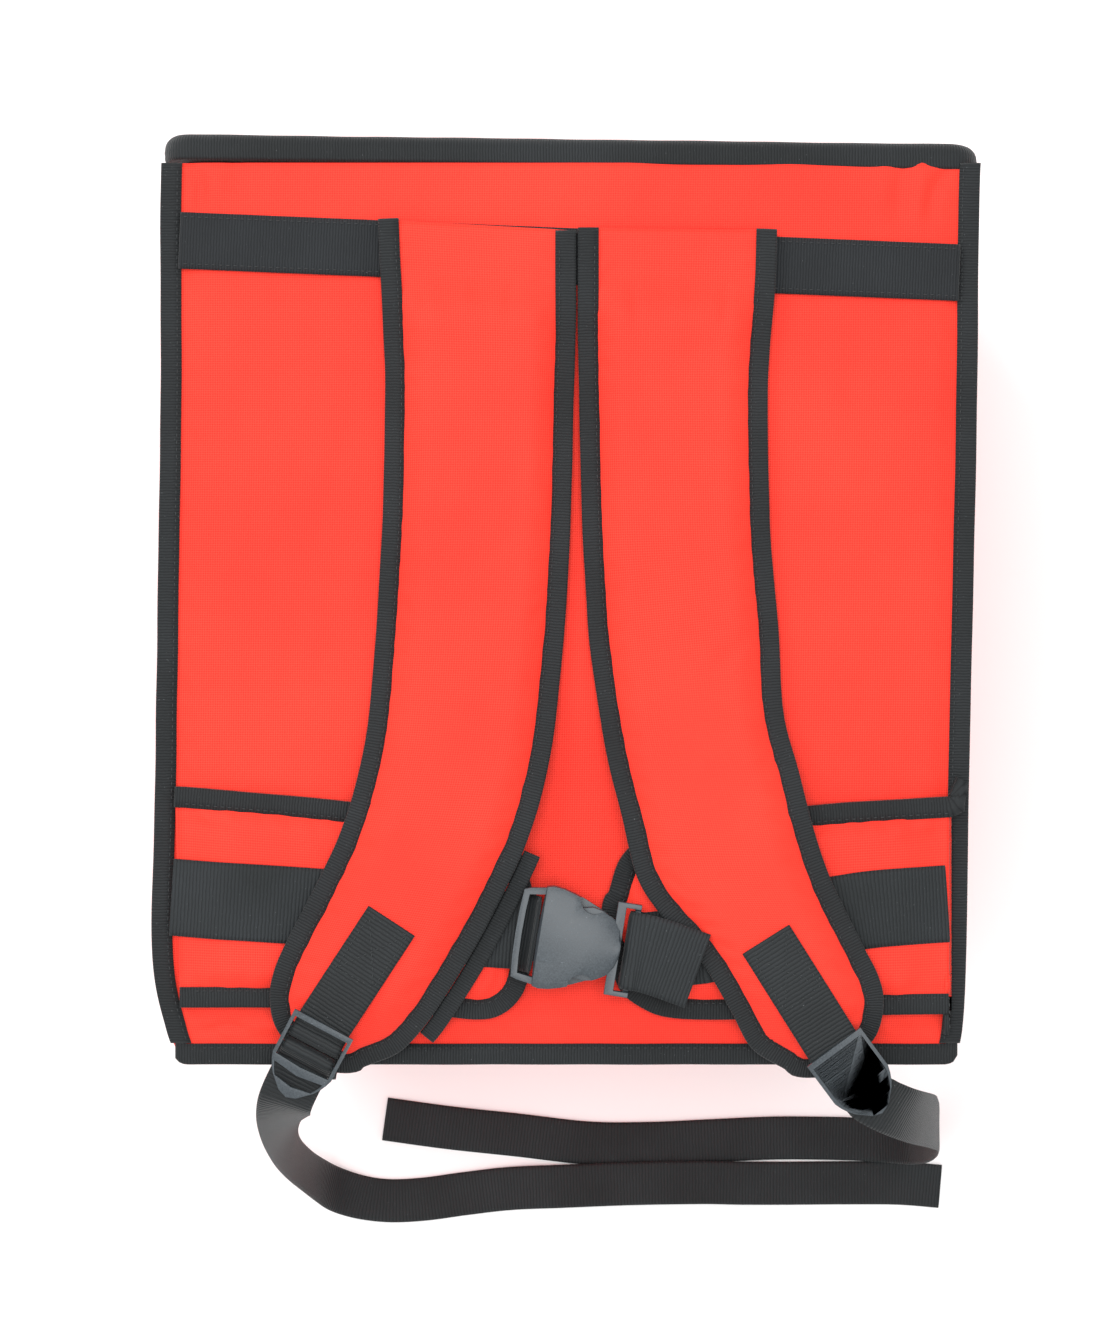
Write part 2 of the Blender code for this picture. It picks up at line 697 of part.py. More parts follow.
def wings():
    """Padded wings of the waist belt, squeezed where the side seam holds them."""
    for word, side, table in (("left", -1, WING_LEFT), ("right", 1, WING_RIGHT)):
        rows = smooth(table, 13)
        upper, lower = place(rows[:, 0], rows[:, 1]), place(rows[:, 0], rows[:, 2])
        seam = inside_lip(side, np.array([upper[0, 1], lower[0, 1]]))
        upper[0, 0], lower[0, 0] = seam
        pairs = np.column_stack([upper, lower])
        reach = abs(pairs[:, 0] - pairs[0, 0]) / SEAM_REACH
        squeeze = SEAM_SQUEEZE + (1 - SEAM_SQUEEZE) * ease(reach)
        bound_pad("waist_wing_" + word, pairs, lambda x, y: ON_PANEL + 0 * x, WING, WING_RAMP, squeeze)


def upper_band():
    """Webbing sewn across the back panel between the side seams."""
    ends = place(*np.array(BAND_ENDS).T)
    slope = (ends[1, 1] - ends[0, 1]) / (ends[1, 0] - ends[0, 0])
    x = np.array([inside_lip(-1, ends[0, 1] - BAND_WIDTH), 0.0, inside_lip(1, ends[1, 1] - BAND_WIDTH)])
    y = ends[:, 1].mean() + slope * x
    path = np.column_stack([x, y, np.full(3, ON_PANEL + WEB / 2)])
    ribbon("upper_band", path, (0.0, 1.0, 0.0), BAND_WIDTH)


def buckle_point(along, across, height):
    """World point of the buckle from its own along, across and height."""
    angle = math.radians(BUCKLE_TURN)
    middle = place(*BUCKLE_AT)
    along, across, height = np.broadcast_arrays(along, across, height)
    x = middle[0] + along * math.cos(angle) - across * math.sin(angle)
    y = middle[1] + along * math.sin(angle) + across * math.cos(angle)
    return np.stack([x, y, ON_BELT + height], -1)


def belts():
    """Wide webbing on the wings; the right one turns round the prong's bar and lies back."""
    wing_top = ON_WING + WEB / 2
    across = turned(90.0 + BUCKLE_TURN)
    for word, side, table in (("left", -1, BELT_LEFT), ("right", 1, BELT_RIGHT)):
        line = place(*np.array(table).T)
        line[0, 0] = inside_lip(side, line[0, 1])
        reach = abs(line[:, 0] - line[0, 0]) / SEAM_REACH
        height = wing_top - (1 - SEAM_SQUEEZE) * WING * (1 - np.clip(reach, 0, 1))
        line = np.insert(line, 1, line[0] + (line[1] - line[0]) * 0.35, axis=0)
        height = np.insert(height, 1, wing_top)
        runs = np.column_stack([line, height])
        if word == "left":
            ends = buckle_point(np.array([-0.0265, -0.0225, -0.0190, -0.0176]), 0.0,
                                np.array([-0.0011, -0.0002, 0.0028, 0.0062]))
        else:
            ends = buckle_point(np.array([0.0315, 0.0265, 0.0238, 0.0229, 0.0238, 0.0262, 0.0315]), 0.0,
                                np.array([-0.0011, -0.0008, 0.0008, 0.0036, 0.0064, 0.0074, 0.0078]))
            far = buckle_point(np.array([0.0400, 0.0480, 0.0560]), np.array([-0.0010, -0.0025, -0.0040]),
                               np.array([0.0080, 0.0079, 0.0078]))
            ends = np.vstack([ends, far])
        path = np.vstack([runs, ends])
        turn = np.linspace(0.0, 1.0, len(runs))[:, None]
        level = np.vstack([turned(90.0) * (1 - turn) + across * turn, np.tile(across, (len(ends), 1))])
        ribbon("waist_webbing_" + word, path, level, BELT_WIDTH)


def wing_tape():
    """Square-cut tape that lies on the left wing beside the strap's inner edge."""
    pairs = strap_pairs(STRAP_LEFT)
    inner = pairs[:, 2:]
    down = down_of(inner[:, 1])
    keep = (down > 0.765) & (down < 0.965)
    edge = inner[keep]
    along = tangents(np.column_stack([edge, np.zeros(len(edge))]))
    outward = np.column_stack([-along[:, 1], along[:, 0], np.zeros(len(edge))])
    width = LIP * 0.8
    path = np.column_stack([edge, strap_under(edge[:, 0], edge[:, 1]) + TAPE / 2])
    path = path + outward * (width / 2 + GAP)
    ribbon("wing_tape_left", path, outward, width, thick=TAPE)


def cell_plate(name, u, v, kept, to_world, low, high, colour, roughness=0.45):
    """Plate with slots: kept cells of a grid, from low to high, walled where a cell is missing."""
    rows, columns = len(u), len(v)
    grid_u, grid_v = np.meshgrid(u, v, indexing="ij")
    under, over = to_world(grid_u, grid_v, low), to_world(grid_u, grid_v, high)
    count = rows * columns
    points = np.vstack([under.reshape(-1, 3), over.reshape(-1, 3)])
    faces = []
    for i in range(rows - 1):
        for j in range(columns - 1):
            if not kept[i][j]:
                continue
            ring = [i * columns + j, (i + 1) * columns + j, (i + 1) * columns + j + 1, i * columns + j + 1]
            faces.append([k + count for k in ring])
            faces.append(ring[::-1])
            beside = ((i, j - 1), (i + 1, j), (i, j + 1), (i - 1, j))
            for k, (a, b) in enumerate(beside):
                if 0 <= a < rows - 1 and 0 <= b < columns - 1 and kept[a][b]:
                    continue
                here, there = ring[k], ring[(k + 1) % 4]
                faces.append([here, there, there + count, here + count])
    used = sorted({k for face in faces for k in face})
    renumber = {old: new for new, old in enumerate(used)}
    faces = [[renumber[k] for k in face] for face in faces]
    return solid(name, points[used], faces, colour, roughness)


class Lock:
    """Place of one ladder lock: t runs down its length, s across it and h up."""

    def __init__(self, word):
        across, down, turn, patch_across, patch_down = LOCKS[word]
        self.origin = place(across, down)
        self.patch = place(patch_across, patch_down)
        self.side = turned(turn)
        self.along = turned(turn - 90.0)

    def point(self, t, s, h):
        t, s, h = np.broadcast_arrays(np.asarray(t, float), s, h)
        flat = self.origin + t[..., None] * self.along[:2] + s[..., None] * self.side[:2]
        return np.concatenate([flat, (FACE + LOCK_RISE - LOCK_SLOPE * t + h)[..., None]], -1)


def lock_body(word, lock):
    """Plastic adjuster: two rails, an upper bar, two thin bars, a curved bar and a slotted tab."""
    shape = np.array(LOCK_SHAPE)
    u = [row[0] for row in LOCK_ROWS] + [1.0]
    u = np.array(sorted(set(u + [0.78])))
    inner = 1 - LOCK_RAIL / LOCK_HALF
    near = inner - 0.04
    v = np.array([-1.0, -inner, -near, 0.0, near, inner, 1.0])
    kept = []
    for start, end in zip(u[:-1], u[1:]):
        slot = any(hole and low < (start + end) / 2 < high for low, high, hole in LOCK_ROWS)
        kept.append([j in (0, len(v) - 2) or not slot for j in range(len(v) - 1)])
    thin_bars = np.isin(np.round(u, 3), (0.20, 0.25, 0.42, 0.47))
    grid_u, grid_v = np.meshgrid(u, v, indexing="ij")
    thin = thin_bars[:, None] & (abs(grid_v) < inner - 0.01)
    rail = abs(grid_v) > inner - 0.01
    high = np.where(thin, -0.30, 1.0) * LOCK_THICK
    low = np.where(thin, -0.80, np.where(rail & (grid_u < 0.65) & (grid_u > 0.1), -0.60, 0.0)) * LOCK_THICK

    def to_world(grid_u, grid_v, height):
        half = np.interp(grid_u, shape[:, 0], shape[:, 1]) * LOCK_HALF
        sag = 0.06 * LOCK_LENGTH * ease((grid_u - 0.5) / 0.2) * (1 - grid_v ** 2)
        return lock.point(grid_u * LOCK_LENGTH + sag - 0.03 * LOCK_LENGTH * ease((grid_u - 0.5) / 0.2),
                          grid_v * half, height)

    cell_plate("ladder_lock_" + word, u, v, kept, to_world, low, high, PLASTIC)


def strap_top(points, pairs, side):
    """Height of the strap's upper side under a line of webbing, over the webbing's width."""
    outline = pad_outline(pairs)[0]
    tops = []
    for share in np.linspace(-0.5, 0.5, 7):
        x, y = (points + share * WEB_WIDTH * side).T
        far = edge_distance(x, y, outline)
        tops.append(strap_under(x, y) + pad_height(far, STRAP, STRAP_RAMP))
    return np.max(tops, axis=0)


def patch(word, lock, pairs):
    """Webbing sewn on the strap's end, turned over the lock's first thin bar."""
    steps = np.linspace(0.0, 0.84, 6)[:, None]
    line = lock.patch * (1 - steps) + lock.origin * steps
    height = strap_top(line, pairs, lock.side[:2]) + 2 * GAP + WEB / 2
    under_bar = lock.point(0.0, 0.0, -WEB / 2 - 1.5 * GAP)[2]
    height = np.maximum(height, under_bar)
    t = np.array([0.0, 0.0030, 0.0052, 0.0063, 0.0082, 0.0101, 0.0112])
    h = np.array([-0.00125, -0.00125, -0.00060, 0.00035, 0.00080, 0.00035, -0.00060])
    path = np.vstack([np.column_stack([line, height]), lock.point(t, 0.0, h)])
    return ribbon("patch_" + word, path, lock.side, WEB_WIDTH)


def adjuster(word, lock):
    """Webbing from the bottom seam, under the lock, up over its second bar and down again."""
    foot = -HEIGHT / 2
    below = FACE - TAPE_SET - BOUND - GAP - WEB / 2
    x = lock.point(0.48 * LOCK_LENGTH, 0.0, 0.0)[0]
    out = foot - 2 * GAP - WEB / 2
    seam = [(x, foot + LIP * 0.7, below), (x, foot + LIP * 0.1, below),
            (x, out - 0.4 * GAP, below + WEB / 2), (x, out - WEB / 2, FACE - BOUND / 2),
            (x, out - WEB / 2, FACE + 0.0030), (x, out - WEB / 2, FACE + 0.0060)]
    t = np.array([0.0178, 0.0148, 0.0133, 0.0146, 0.0162, 0.0178, 0.0192, 0.0206])
    h = np.array([-0.0058, -0.0040, -0.0014, 0.0004, 0.0010, 0.0004, -0.0014, -0.0026])
    path = np.vstack([np.array(seam), lock.point(t, 0.0, h)])
    turn = np.array([0, 0, 0, 0.05, 0.25, 0.55, 0.85] + [1] * (len(t) - 1))[:, None]
    across = np.array([1.0, 0.0, 0.0]) * (1 - turn) + lock.side * turn
    ribbon("adjuster_" + word, path, across, WEB_WIDTH)


def tail(word, lock):
    """Loose webbing end: under the lock's tab, down to the floor and along it, twisting."""
    start = np.array(TAIL_START)
    head = lock.point(start[:, 0], 0.0, start[:, 1])
    head = np.column_stack([head, np.full(len(head), LOCKS[word][2])])
    route = np.vstack([head, smooth(TAIL_ROUTES[word], 40)])
    ribbon("tail_" + word, route[:, :3], turned(route[:, 3]), WEB_WIDTH)


def locks_and_tails():
    for word, table in (("left", STRAP_LEFT), ("right", STRAP_RIGHT)):
        lock = Lock(word)
        lock_body(word, lock)
        patch(word, lock, strap_pairs(table))
        adjuster(word, lock)
        tail(word, lock)


def box_cutter(name, low, high):
    """Hidden box in the buckle's own directions."""
    corners = [(a, b, c) for a in (low[0], high[0]) for b in (low[1], high[1]) for c in (low[2], high[2])]
    points = [buckle_point(*corner) for corner in corners]
    faces = [(0, 1, 3, 2), (4, 6, 7, 5), (0, 4, 5, 1), (2, 3, 7, 6), (0, 2, 6, 4), (1, 5, 7, 3)]
    item = solid(name, points, faces, PLASTIC, 0.5)
    item.hide_render = True
    item.display_type = "WIRE"
    return item


def notch_cutter(name, along, across, radii, low, high):
    """Hidden oval column in the buckle's own directions."""
    angles = np.radians(np.arange(0, 360, 22.5))
    u, v = along + radii[0] * np.cos(angles), across + radii[1] * np.sin(angles)
    points = np.vstack([buckle_point(u, v, low), buckle_point(u, v, high)])
    count = len(angles)
    faces = [[k, (k + 1) % count, (k + 1) % count + count, k + count] for k in range(count)]
    faces += [list(range(count)), list(range(count, 2 * count))]
    item = solid(name, points, faces, PLASTIC, 0.5)
    item.hide_render = True
    item.display_type = "WIRE"
    return item


def buckle_socket():
    """Crowned shell with a webbing slot, open at its nose and cut away over the two buttons."""
    shape = np.array(SOCKET_SHAPE)
    body_u = shape[:, 0] * SOCKET_NOSE
    frame_u = np.array([-SOCKET_BAR, -SOCKET_BAR + 0.0028, body_u[0] - 0.0012])
    u = np.concatenate([frame_u, body_u])
    half = np.concatenate([[0.86, 0.90, 0.95], shape[:, 1]]) * BUCKLE_HALF
    v = np.array([-1.0, -0.86, -0.5, 0.0, 0.5, 0.86, 1.0])
    kept = [[True] * 6 for _ in range(len(u) - 1)]
    kept[1] = [True, False, False, False, False, True]
    grid_u, grid_v = np.meshgrid(u, v, indexing="ij")
    frame = grid_u < body_u[0] - 0.0001
    crown = 1 - 0.22 * grid_v ** 2 - 0.10 * ease((grid_u / SOCKET_NOSE - 0.3) / 0.7)
    high = np.where(frame, 0.62, crown) * BUCKLE_TALL
    low = np.where(frame, 0.18, 0.0) * BUCKLE_TALL

    def to_world(grid_u, grid_v, height):
        bow = np.where(grid_u < body_u[0] - 0.0002, 0.0010 * (grid_v ** 2), 0.0)
        return buckle_point(grid_u + bow, grid_v * half[:, None], height)

    socket = cell_plate("buckle_socket", u, v, kept, to_world, low, high, PLASTIC)
    cutters = [
        box_cutter("cut_cavity", (-0.0070, -0.0115, CAVITY_LOW), (0.0146, 0.0115, CAVITY_HIGH)),
        box_cutter("cut_mouth", (0.0140, -0.03, CAVITY_LOW), (0.04, 0.03, CAVITY_HIGH)),
        box_cutter("cut_windows", (0.0003, -0.03, CAVITY_LOW), (0.0117, 0.03, CAVITY_HIGH)),
        notch_cutter("cut_notch_upper", 0.0060, 0.0195, (0.0062, 0.0060), 0.005, 0.02),
        notch_cutter("cut_notch_lower", 0.0060, -0.0195, (0.0062, 0.0060), 0.005, 0.02),
    ]
    for cutter in cutters:
        cut = socket.modifiers.new(cutter.name, "BOOLEAN")
        cut.operation = "DIFFERENCE"
        cut.solver = "EXACT"
        cut.object = cutter


def buckle_prong():
    """Half with the two sprung buttons, a centre tongue and the bar that the webbing turns on."""
    u = np.array([-0.0060, -0.0030, 0.0012, 0.0060, 0.0108, 0.0165, 0.0205, 0.0246, 0.0272])
    v = np.array([-0.0208, -0.0186, -0.0180, -0.0165, -0.0095, -0.0070, -0.0030, 0.0030, 0.0070,
                  0.0095, 0.0165, 0.0180, 0.0186, 0.0208])
    middle = (v[:-1] + v[1:]) / 2
    kept = []
    for start, end in zip(u[:-1], u[1:]):
        here = (start + end) / 2
        tongue = abs(middle) < 0.003
        arms = (abs(middle) > 0.007) & (abs(middle) < 0.0095) & (here > -0.003)
        buttons = (abs(middle) > 0.007) & (abs(middle) < 0.0165) & (here > 0.0012) & (here < 0.0108)
        base = (abs(middle) < 1.0) & (((here > 0.0165) & (here < 0.0205)) | (here > 0.0246))
        rails = (abs(middle) > 0.0186) & (here > 0.0165)
        if here > 0.0165:
            kept.append(list(base | rails))
        else:
            kept.append(list(tongue | arms | buttons))
    grid_u, grid_v = np.meshgrid(u, v, indexing="ij")
    low = np.full(grid_u.shape, CAVITY_LOW + GAP)
    high = np.full(grid_u.shape, CAVITY_HIGH - GAP)
    bar = (grid_u > 0.024) & (abs(grid_v) < 0.0183)
    low = np.where(bar, 0.0022, low)
    high = np.where(bar, 0.0050, high)

    def to_world(grid_u, grid_v, height):
        lean = np.where((abs(grid_v) > 0.0100) & (abs(grid_v) < 0.0170), 0.0010, 0.0)
        return buckle_point(grid_u, grid_v - np.sign(grid_v) * lean * abs(grid_u - 0.006) / 0.005, height)

    cell_plate("buckle_prong", u, v, kept, to_world, low, high, PLASTIC)


def build():
    empty_scene()
    bound_wall("back_panel", FACE, 1, (0.10, 0.20, 0.35, 0.50, 0.65, 0.80, 0.90), PUCKERS)
    bound_wall("front_panel", 0.0, -1, (0.5,), ())
    side_wall("side_panel_left", -1)
    side_wall("side_panel_right", 1)
    bottom_wall()
    lid()
    bag_tapes()
    upper_band()
    wings()
    belts()
    straps()
    wing_tape()
    locks_and_tails()
    buckle_socket()
    buckle_prong()


build()
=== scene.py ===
# %% [markdown]
# # Insulated delivery backpack
# The bag lies on its front panel with its shoulder straps up, and the camera looks straight
# down at it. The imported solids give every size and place. Each step below dresses some of
# them with a finer piece or a better finish. All lengths are metres.

import bmesh
import bpy
import numpy as np
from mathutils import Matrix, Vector


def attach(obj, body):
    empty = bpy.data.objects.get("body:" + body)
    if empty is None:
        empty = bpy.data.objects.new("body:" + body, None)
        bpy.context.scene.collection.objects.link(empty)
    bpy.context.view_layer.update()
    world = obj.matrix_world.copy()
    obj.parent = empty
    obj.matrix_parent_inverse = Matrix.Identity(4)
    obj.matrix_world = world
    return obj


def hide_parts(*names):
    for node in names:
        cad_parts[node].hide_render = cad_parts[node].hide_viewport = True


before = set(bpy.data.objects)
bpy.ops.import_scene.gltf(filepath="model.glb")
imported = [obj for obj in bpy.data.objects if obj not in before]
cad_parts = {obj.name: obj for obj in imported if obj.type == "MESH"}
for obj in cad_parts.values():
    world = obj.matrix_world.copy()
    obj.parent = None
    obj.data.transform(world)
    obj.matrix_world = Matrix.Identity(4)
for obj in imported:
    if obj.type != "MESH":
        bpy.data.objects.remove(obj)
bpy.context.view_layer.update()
print("solids loaded:", len(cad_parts))

# %% [markdown]
# ## Main sizes
# The bag's width, height and depth are taken over its bound edges. Points on the back panel
# are given by two shares: "across" runs from the middle over half the width, and "down" runs
# from the lid edge to the bottom edge.

# %% Main sizes
WIDTH, HEIGHT, DEPTH = 0.370, 0.420, 0.320
WALL, FLANGE, TAPE, LIP, GAP = 0.0070, 0.0024, 0.0010, 0.0095, 0.0003
EDGE = TAPE + GAP
BOUND = 2 * EDGE + FLANGE
TAPE_SET = 0.0004
WEB, WEB_WIDTH, BAND_WIDTH, BELT_WIDTH = 0.0016, 0.0245, 0.0255, 0.0345
WING, STRAP, LID_RIM = 0.0080, 0.0100, 0.0135
ON_PANEL = DEPTH + GAP
ON_BAND = ON_PANEL + WEB + GAP
ON_WING = ON_PANEL + WING + GAP
ON_BELT = ON_WING + WEB + GAP
LID_LINE = HEIGHT / 2 - LID_RIM


def place(across, down):
    """World x and y: half the width times across, and the lid edge less the height times down."""
    return np.stack([np.asarray(across) * WIDTH / 2, HEIGHT / 2 - np.asarray(down) * HEIGHT], -1)


def down_of(y):
    return (HEIGHT / 2 - y) / HEIGHT


print("bag over its edges:", WIDTH, HEIGHT, DEPTH)

# %% [markdown]
# ## Camera
# The picture was taken from straight above. One millimetre on the back panel covers 2.2 of
# the picture's pixels, and the same webbing on the floor looks a fifth smaller, which puts
# the lens 1.2 m above the back panel.

# %% Camera
camera_data = bpy.data.cameras.new("camera")
camera_data.sensor_width = 36.0
camera_data.lens = 71.9
camera = bpy.data.objects.new("camera", camera_data)
camera.location = (-0.0072, -0.03105, DEPTH + 1.2)
bpy.context.collection.objects.link(camera)
bpy.context.scene.camera = camera
print("lens height over the floor:", round(camera.location.z, 3))

# %% [markdown]
# ## Surfaces from numbers
# Every soft piece here is a loft: a row of closed rings, one ring for each step along the
# piece. The rings are worked out as whole arrays and go into the mesh in one call. The UV map
# "cloth" holds real distances along and round the piece, so a weave keeps its size.


# %% Loft of closed rings
def lengths(points, axis):
    """Running distance along one axis of an array of points, starting at zero."""
    steps = np.linalg.norm(np.diff(points, axis=axis), axis=-1)
    start = np.zeros_like(np.take(steps, [0], axis=axis))
    return np.concatenate([start, np.cumsum(steps, axis=axis)], axis=axis)


def make_mesh(name, points, faces, uv, material, node=None, smooth=True):
    """Mesh object at the origin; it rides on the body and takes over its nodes."""
    mesh = bpy.data.meshes.new(name)
    mesh.from_pydata(points.reshape(-1, 3).tolist(), [], faces)
    if uv is not None:
        layer = mesh.uv_layers.new(name="cloth")
        layer.uv.foreach_set("vector", np.asarray(uv, np.float32).ravel())
    if smooth:
        mesh.shade_smooth()
    piece = bpy.data.objects.new(name, mesh)
    bpy.context.collection.objects.link(piece)
    mesh.materials.append(material)
    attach(piece, "root")
    if node:
        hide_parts(*([node] if isinstance(node, str) else node))
    return piece


def loft(name, rings, material, node=None, closed=False, turn_uv=False):
    """Closed surface through rings[step, point]: quads between neighbours, flat ends if open."""
    rings = np.asarray(rings, float)
    steps, count = rings.shape[:2]
    around = np.concatenate([rings, rings[:, :1]], axis=1)
    u = np.median(lengths(rings, 0), axis=1)
    v = np.median(lengths(around, 1), axis=0)
    last = steps if closed else steps - 1
    i, k = np.meshgrid(np.arange(last), np.arange(count), indexing="ij")
    ahead, beside = (i + 1) % steps, (k + 1) % count
    quads = np.stack([i * count + k, i * count + beside, ahead * count + beside, ahead * count + k], -1)
    step_u = np.append(u, u[-1] + (u[-1] - u[-2]))
    uv = np.stack([np.stack([step_u[i], v[k]], -1), np.stack([step_u[i], v[k + 1]], -1),
                   np.stack([step_u[i + 1], v[k + 1]], -1), np.stack([step_u[i + 1], v[k]], -1)], 2)
    if turn_uv:
        uv = uv[..., ::-1]
    faces = quads.reshape(-1, 4).tolist()
    uv = uv.reshape(-1, 2)
    if not closed:
        faces += [list(range(count))[::-1], [(steps - 1) * count + k for k in range(count)]]
        ends = np.stack([v[:-1] * 0, v[:-1]], -1)
        uv = np.vstack([uv, ends[::-1], ends + [u[-1], 0]])
    first = rings[min(1, steps - 1)]
    middle = first.mean(0)
    along = rings[min(2, steps - 1)].mean(0) - rings[0].mean(0)
    spin = np.cross(first - middle, np.roll(first, -1, 0) - middle).sum(0)
    if spin @ along < 0:
        faces = [face[::-1] for face in faces]
        sizes = np.array([len(face) for face in faces])
        starts = np.concatenate([[0], np.cumsum(sizes)[:-1]])
        order = np.concatenate([np.arange(s + n - 1, s - 1, -1) for s, n in zip(starts, sizes)])
        uv = uv[order]
    return make_mesh(name, rings, faces, uv, material, node)


def curve(rows, count, steps=None):
    """Smooth line through a table's rows (Catmull-Rom), read at even shares of its length."""
    rows = np.asarray(rows, float)
    ends = np.vstack([2 * rows[0] - rows[1], rows, 2 * rows[-1] - rows[-2]])
    at = np.linspace(0, len(rows) - 1, count) if steps is None else np.asarray(steps, float)
    index = np.minimum(at.astype(int), len(rows) - 2)
    t = (at - index)[:, None]
    a, b, c, d = ends[index], ends[index + 1], ends[index + 2], ends[index + 3]
    line = 2 * b + (c - a) * t + (2 * a - 5 * b + 4 * c - d) * t ** 2
    return 0.5 * (line + (3 * b - a - 3 * c + d) * t ** 3)


def evenly(points, count):
    """The same line read at even distances."""
    far = lengths(points, 0)
    even = np.linspace(0, far[-1], count)
    return np.stack([np.interp(even, far, column) for column in points.T], -1)


def ease(share):
    """Smooth step from 0 to 1."""
    share = np.clip(share, 0.0, 1.0)
    return share * share * (3 - 2 * share)


def unit(vectors):
    return vectors / np.maximum(np.linalg.norm(vectors, axis=-1, keepdims=True), 1e-12)


def ripple(u, v, pitch, seed):
    """Soft unevenness between -1 and 1: five sine waves in seeded directions."""
    pick = np.random.default_rng(seed)
    total = 0 * u
    for _ in range(5):
        angle, shift, size = pick.uniform(0, 6.28), pick.uniform(0, 6.28), pick.uniform(0.7, 1.6)
        total = total + np.sin(6.28 / (pitch * size) * (u * np.cos(angle) + v * np.sin(angle)) + shift)
    return total / 3.2


print("helpers ready")

# %% [markdown]
# ## Shader groups
# Three effects are shared by several finishes. The weave group gives the raised crossings of plain
# cloth and a mask of the gaps between them, the ribs group gives the cross ribs of tape and webbing
# and a mask of their grooves, and the third group gives slow patches of paler or duller tone with
# a few pale specks. The finishes paint shade into the gaps and grooves, and tape and webbing use
# the specks as painted highlights. Each group only puts out masks and heights.


# %% Shader group helpers
def new_group(name, inputs, outputs):
    """Node group with float inputs (name, value), a Vector input and float outputs."""
    group = bpy.data.node_groups.new(name, "ShaderNodeTree")
    group.interface.new_socket("Vector", in_out="INPUT", socket_type="NodeSocketVector")
    for socket, value in inputs:
        made = group.interface.new_socket(socket, in_out="INPUT", socket_type="NodeSocketFloat")
        made.default_value = value
    for socket in outputs:
        group.interface.new_socket(socket, in_out="OUTPUT", socket_type="NodeSocketFloat")
    start = group.nodes.new("NodeGroupInput")
    end = group.nodes.new("NodeGroupOutput")
    return group, start, end


def math_node(tree, operation, first, second=0.0, third=0.0):
    """Math node; each term is a number or another node's socket. Returns its output."""
    node = tree.nodes.new("ShaderNodeMath")
    node.operation = operation
    for index, term in enumerate((first, second, third)):
        if isinstance(term, (int, float)):
            node.inputs[index].default_value = term
        else:
            tree.links.new(term, node.inputs[index])
    return node.outputs[0]


def noise_node(tree, vector, scale, detail=3.0, rough=0.6):
    """Noise value over a vector socket."""
    node = tree.nodes.new("ShaderNodeTexNoise")
    node.inputs["Detail"].default_value = detail
    node.inputs["Roughness"].default_value = rough
    if isinstance(scale, (int, float)):
        node.inputs["Scale"].default_value = scale
    else:
        tree.links.new(scale, node.inputs["Scale"])
    tree.links.new(vector, node.inputs["Vector"])
    return node.outputs["Fac"]


def wave(tree, position, pitch):
    """Sine of a position over a pitch, from -1 to 1."""
    turns = math_node(tree, "DIVIDE", position, pitch)
    return math_node(tree, "SINE", math_node(tree, "MULTIPLY", turns, 6.28318))


# %% Weave, ribs, tone and specks
weave, start, end = new_group("weave", [("Pitch", 0.001), ("Unevenness", 0.3)], ["Height", "Gaps"])
split = weave.nodes.new("ShaderNodeSeparateXYZ")
weave.links.new(start.outputs["Vector"], split.inputs[0])
slow = noise_node(weave, start.outputs["Vector"], 900.0, 2.0)
shift = math_node(weave, "MULTIPLY", math_node(weave, "SUBTRACT", slow, 0.5),
                  math_node(weave, "MULTIPLY", start.outputs["Unevenness"], 0.0006))
u = math_node(weave, "ADD", split.outputs["X"], shift)
v = math_node(weave, "ADD", split.outputs["Y"], shift)
across = wave(weave, math_node(weave, "ADD", u, v), math_node(weave, "MULTIPLY", start.outputs["Pitch"], 1.0))
along = wave(weave, math_node(weave, "SUBTRACT", u, v),
             math_node(weave, "MULTIPLY", start.outputs["Pitch"], 1.0))
crossing = math_node(weave, "MULTIPLY_ADD", math_node(weave, "MULTIPLY", across, along), 0.5, 0.5)
weave.links.new(crossing, end.inputs["Height"])
weave.links.new(math_node(weave, "POWER", math_node(weave, "SUBTRACT", 1.0, crossing), 2.0),
                end.inputs["Gaps"])

ribs, start, end = new_group("ribs", [("Pitch", 0.0014), ("Thread", 0.0006)], ["Height", "Gaps"])
split = ribs.nodes.new("ShaderNodeSeparateXYZ")
ribs.links.new(start.outputs["Vector"], split.inputs[0])
bend = noise_node(ribs, start.outputs["Vector"], 260.0, 2.0)
position = math_node(ribs, "ADD", split.outputs["X"],
                     math_node(ribs, "MULTIPLY", math_node(ribs, "SUBTRACT", bend, 0.5), 0.0009))
rib = math_node(ribs, "ABSOLUTE", wave(ribs, position,
                                       math_node(ribs, "MULTIPLY", start.outputs["Pitch"], 2.0)))
thread = wave(ribs, math_node(ribs, "ADD", split.outputs["Y"], math_node(ribs, "MULTIPLY", position, 0.5)),
              start.outputs["Thread"])
thread = math_node(ribs, "MULTIPLY_ADD", thread, 0.18, 0.82)
height = math_node(ribs, "MULTIPLY", rib, thread)
ribs.links.new(height, end.inputs["Height"])
ribs.links.new(math_node(ribs, "POWER", math_node(ribs, "SUBTRACT", 1.0, height), 3.0), end.inputs["Gaps"])

tone_and_specks, start, end = new_group("tone_and_specks", [("Scale", 12.0), ("Specks", 0.5)], ["Patches", "PaleSpecks"])
patches = noise_node(tone_and_specks, start.outputs["Vector"], start.outputs["Scale"], 4.0, 0.55)
tone_and_specks.links.new(patches, end.inputs["Patches"])
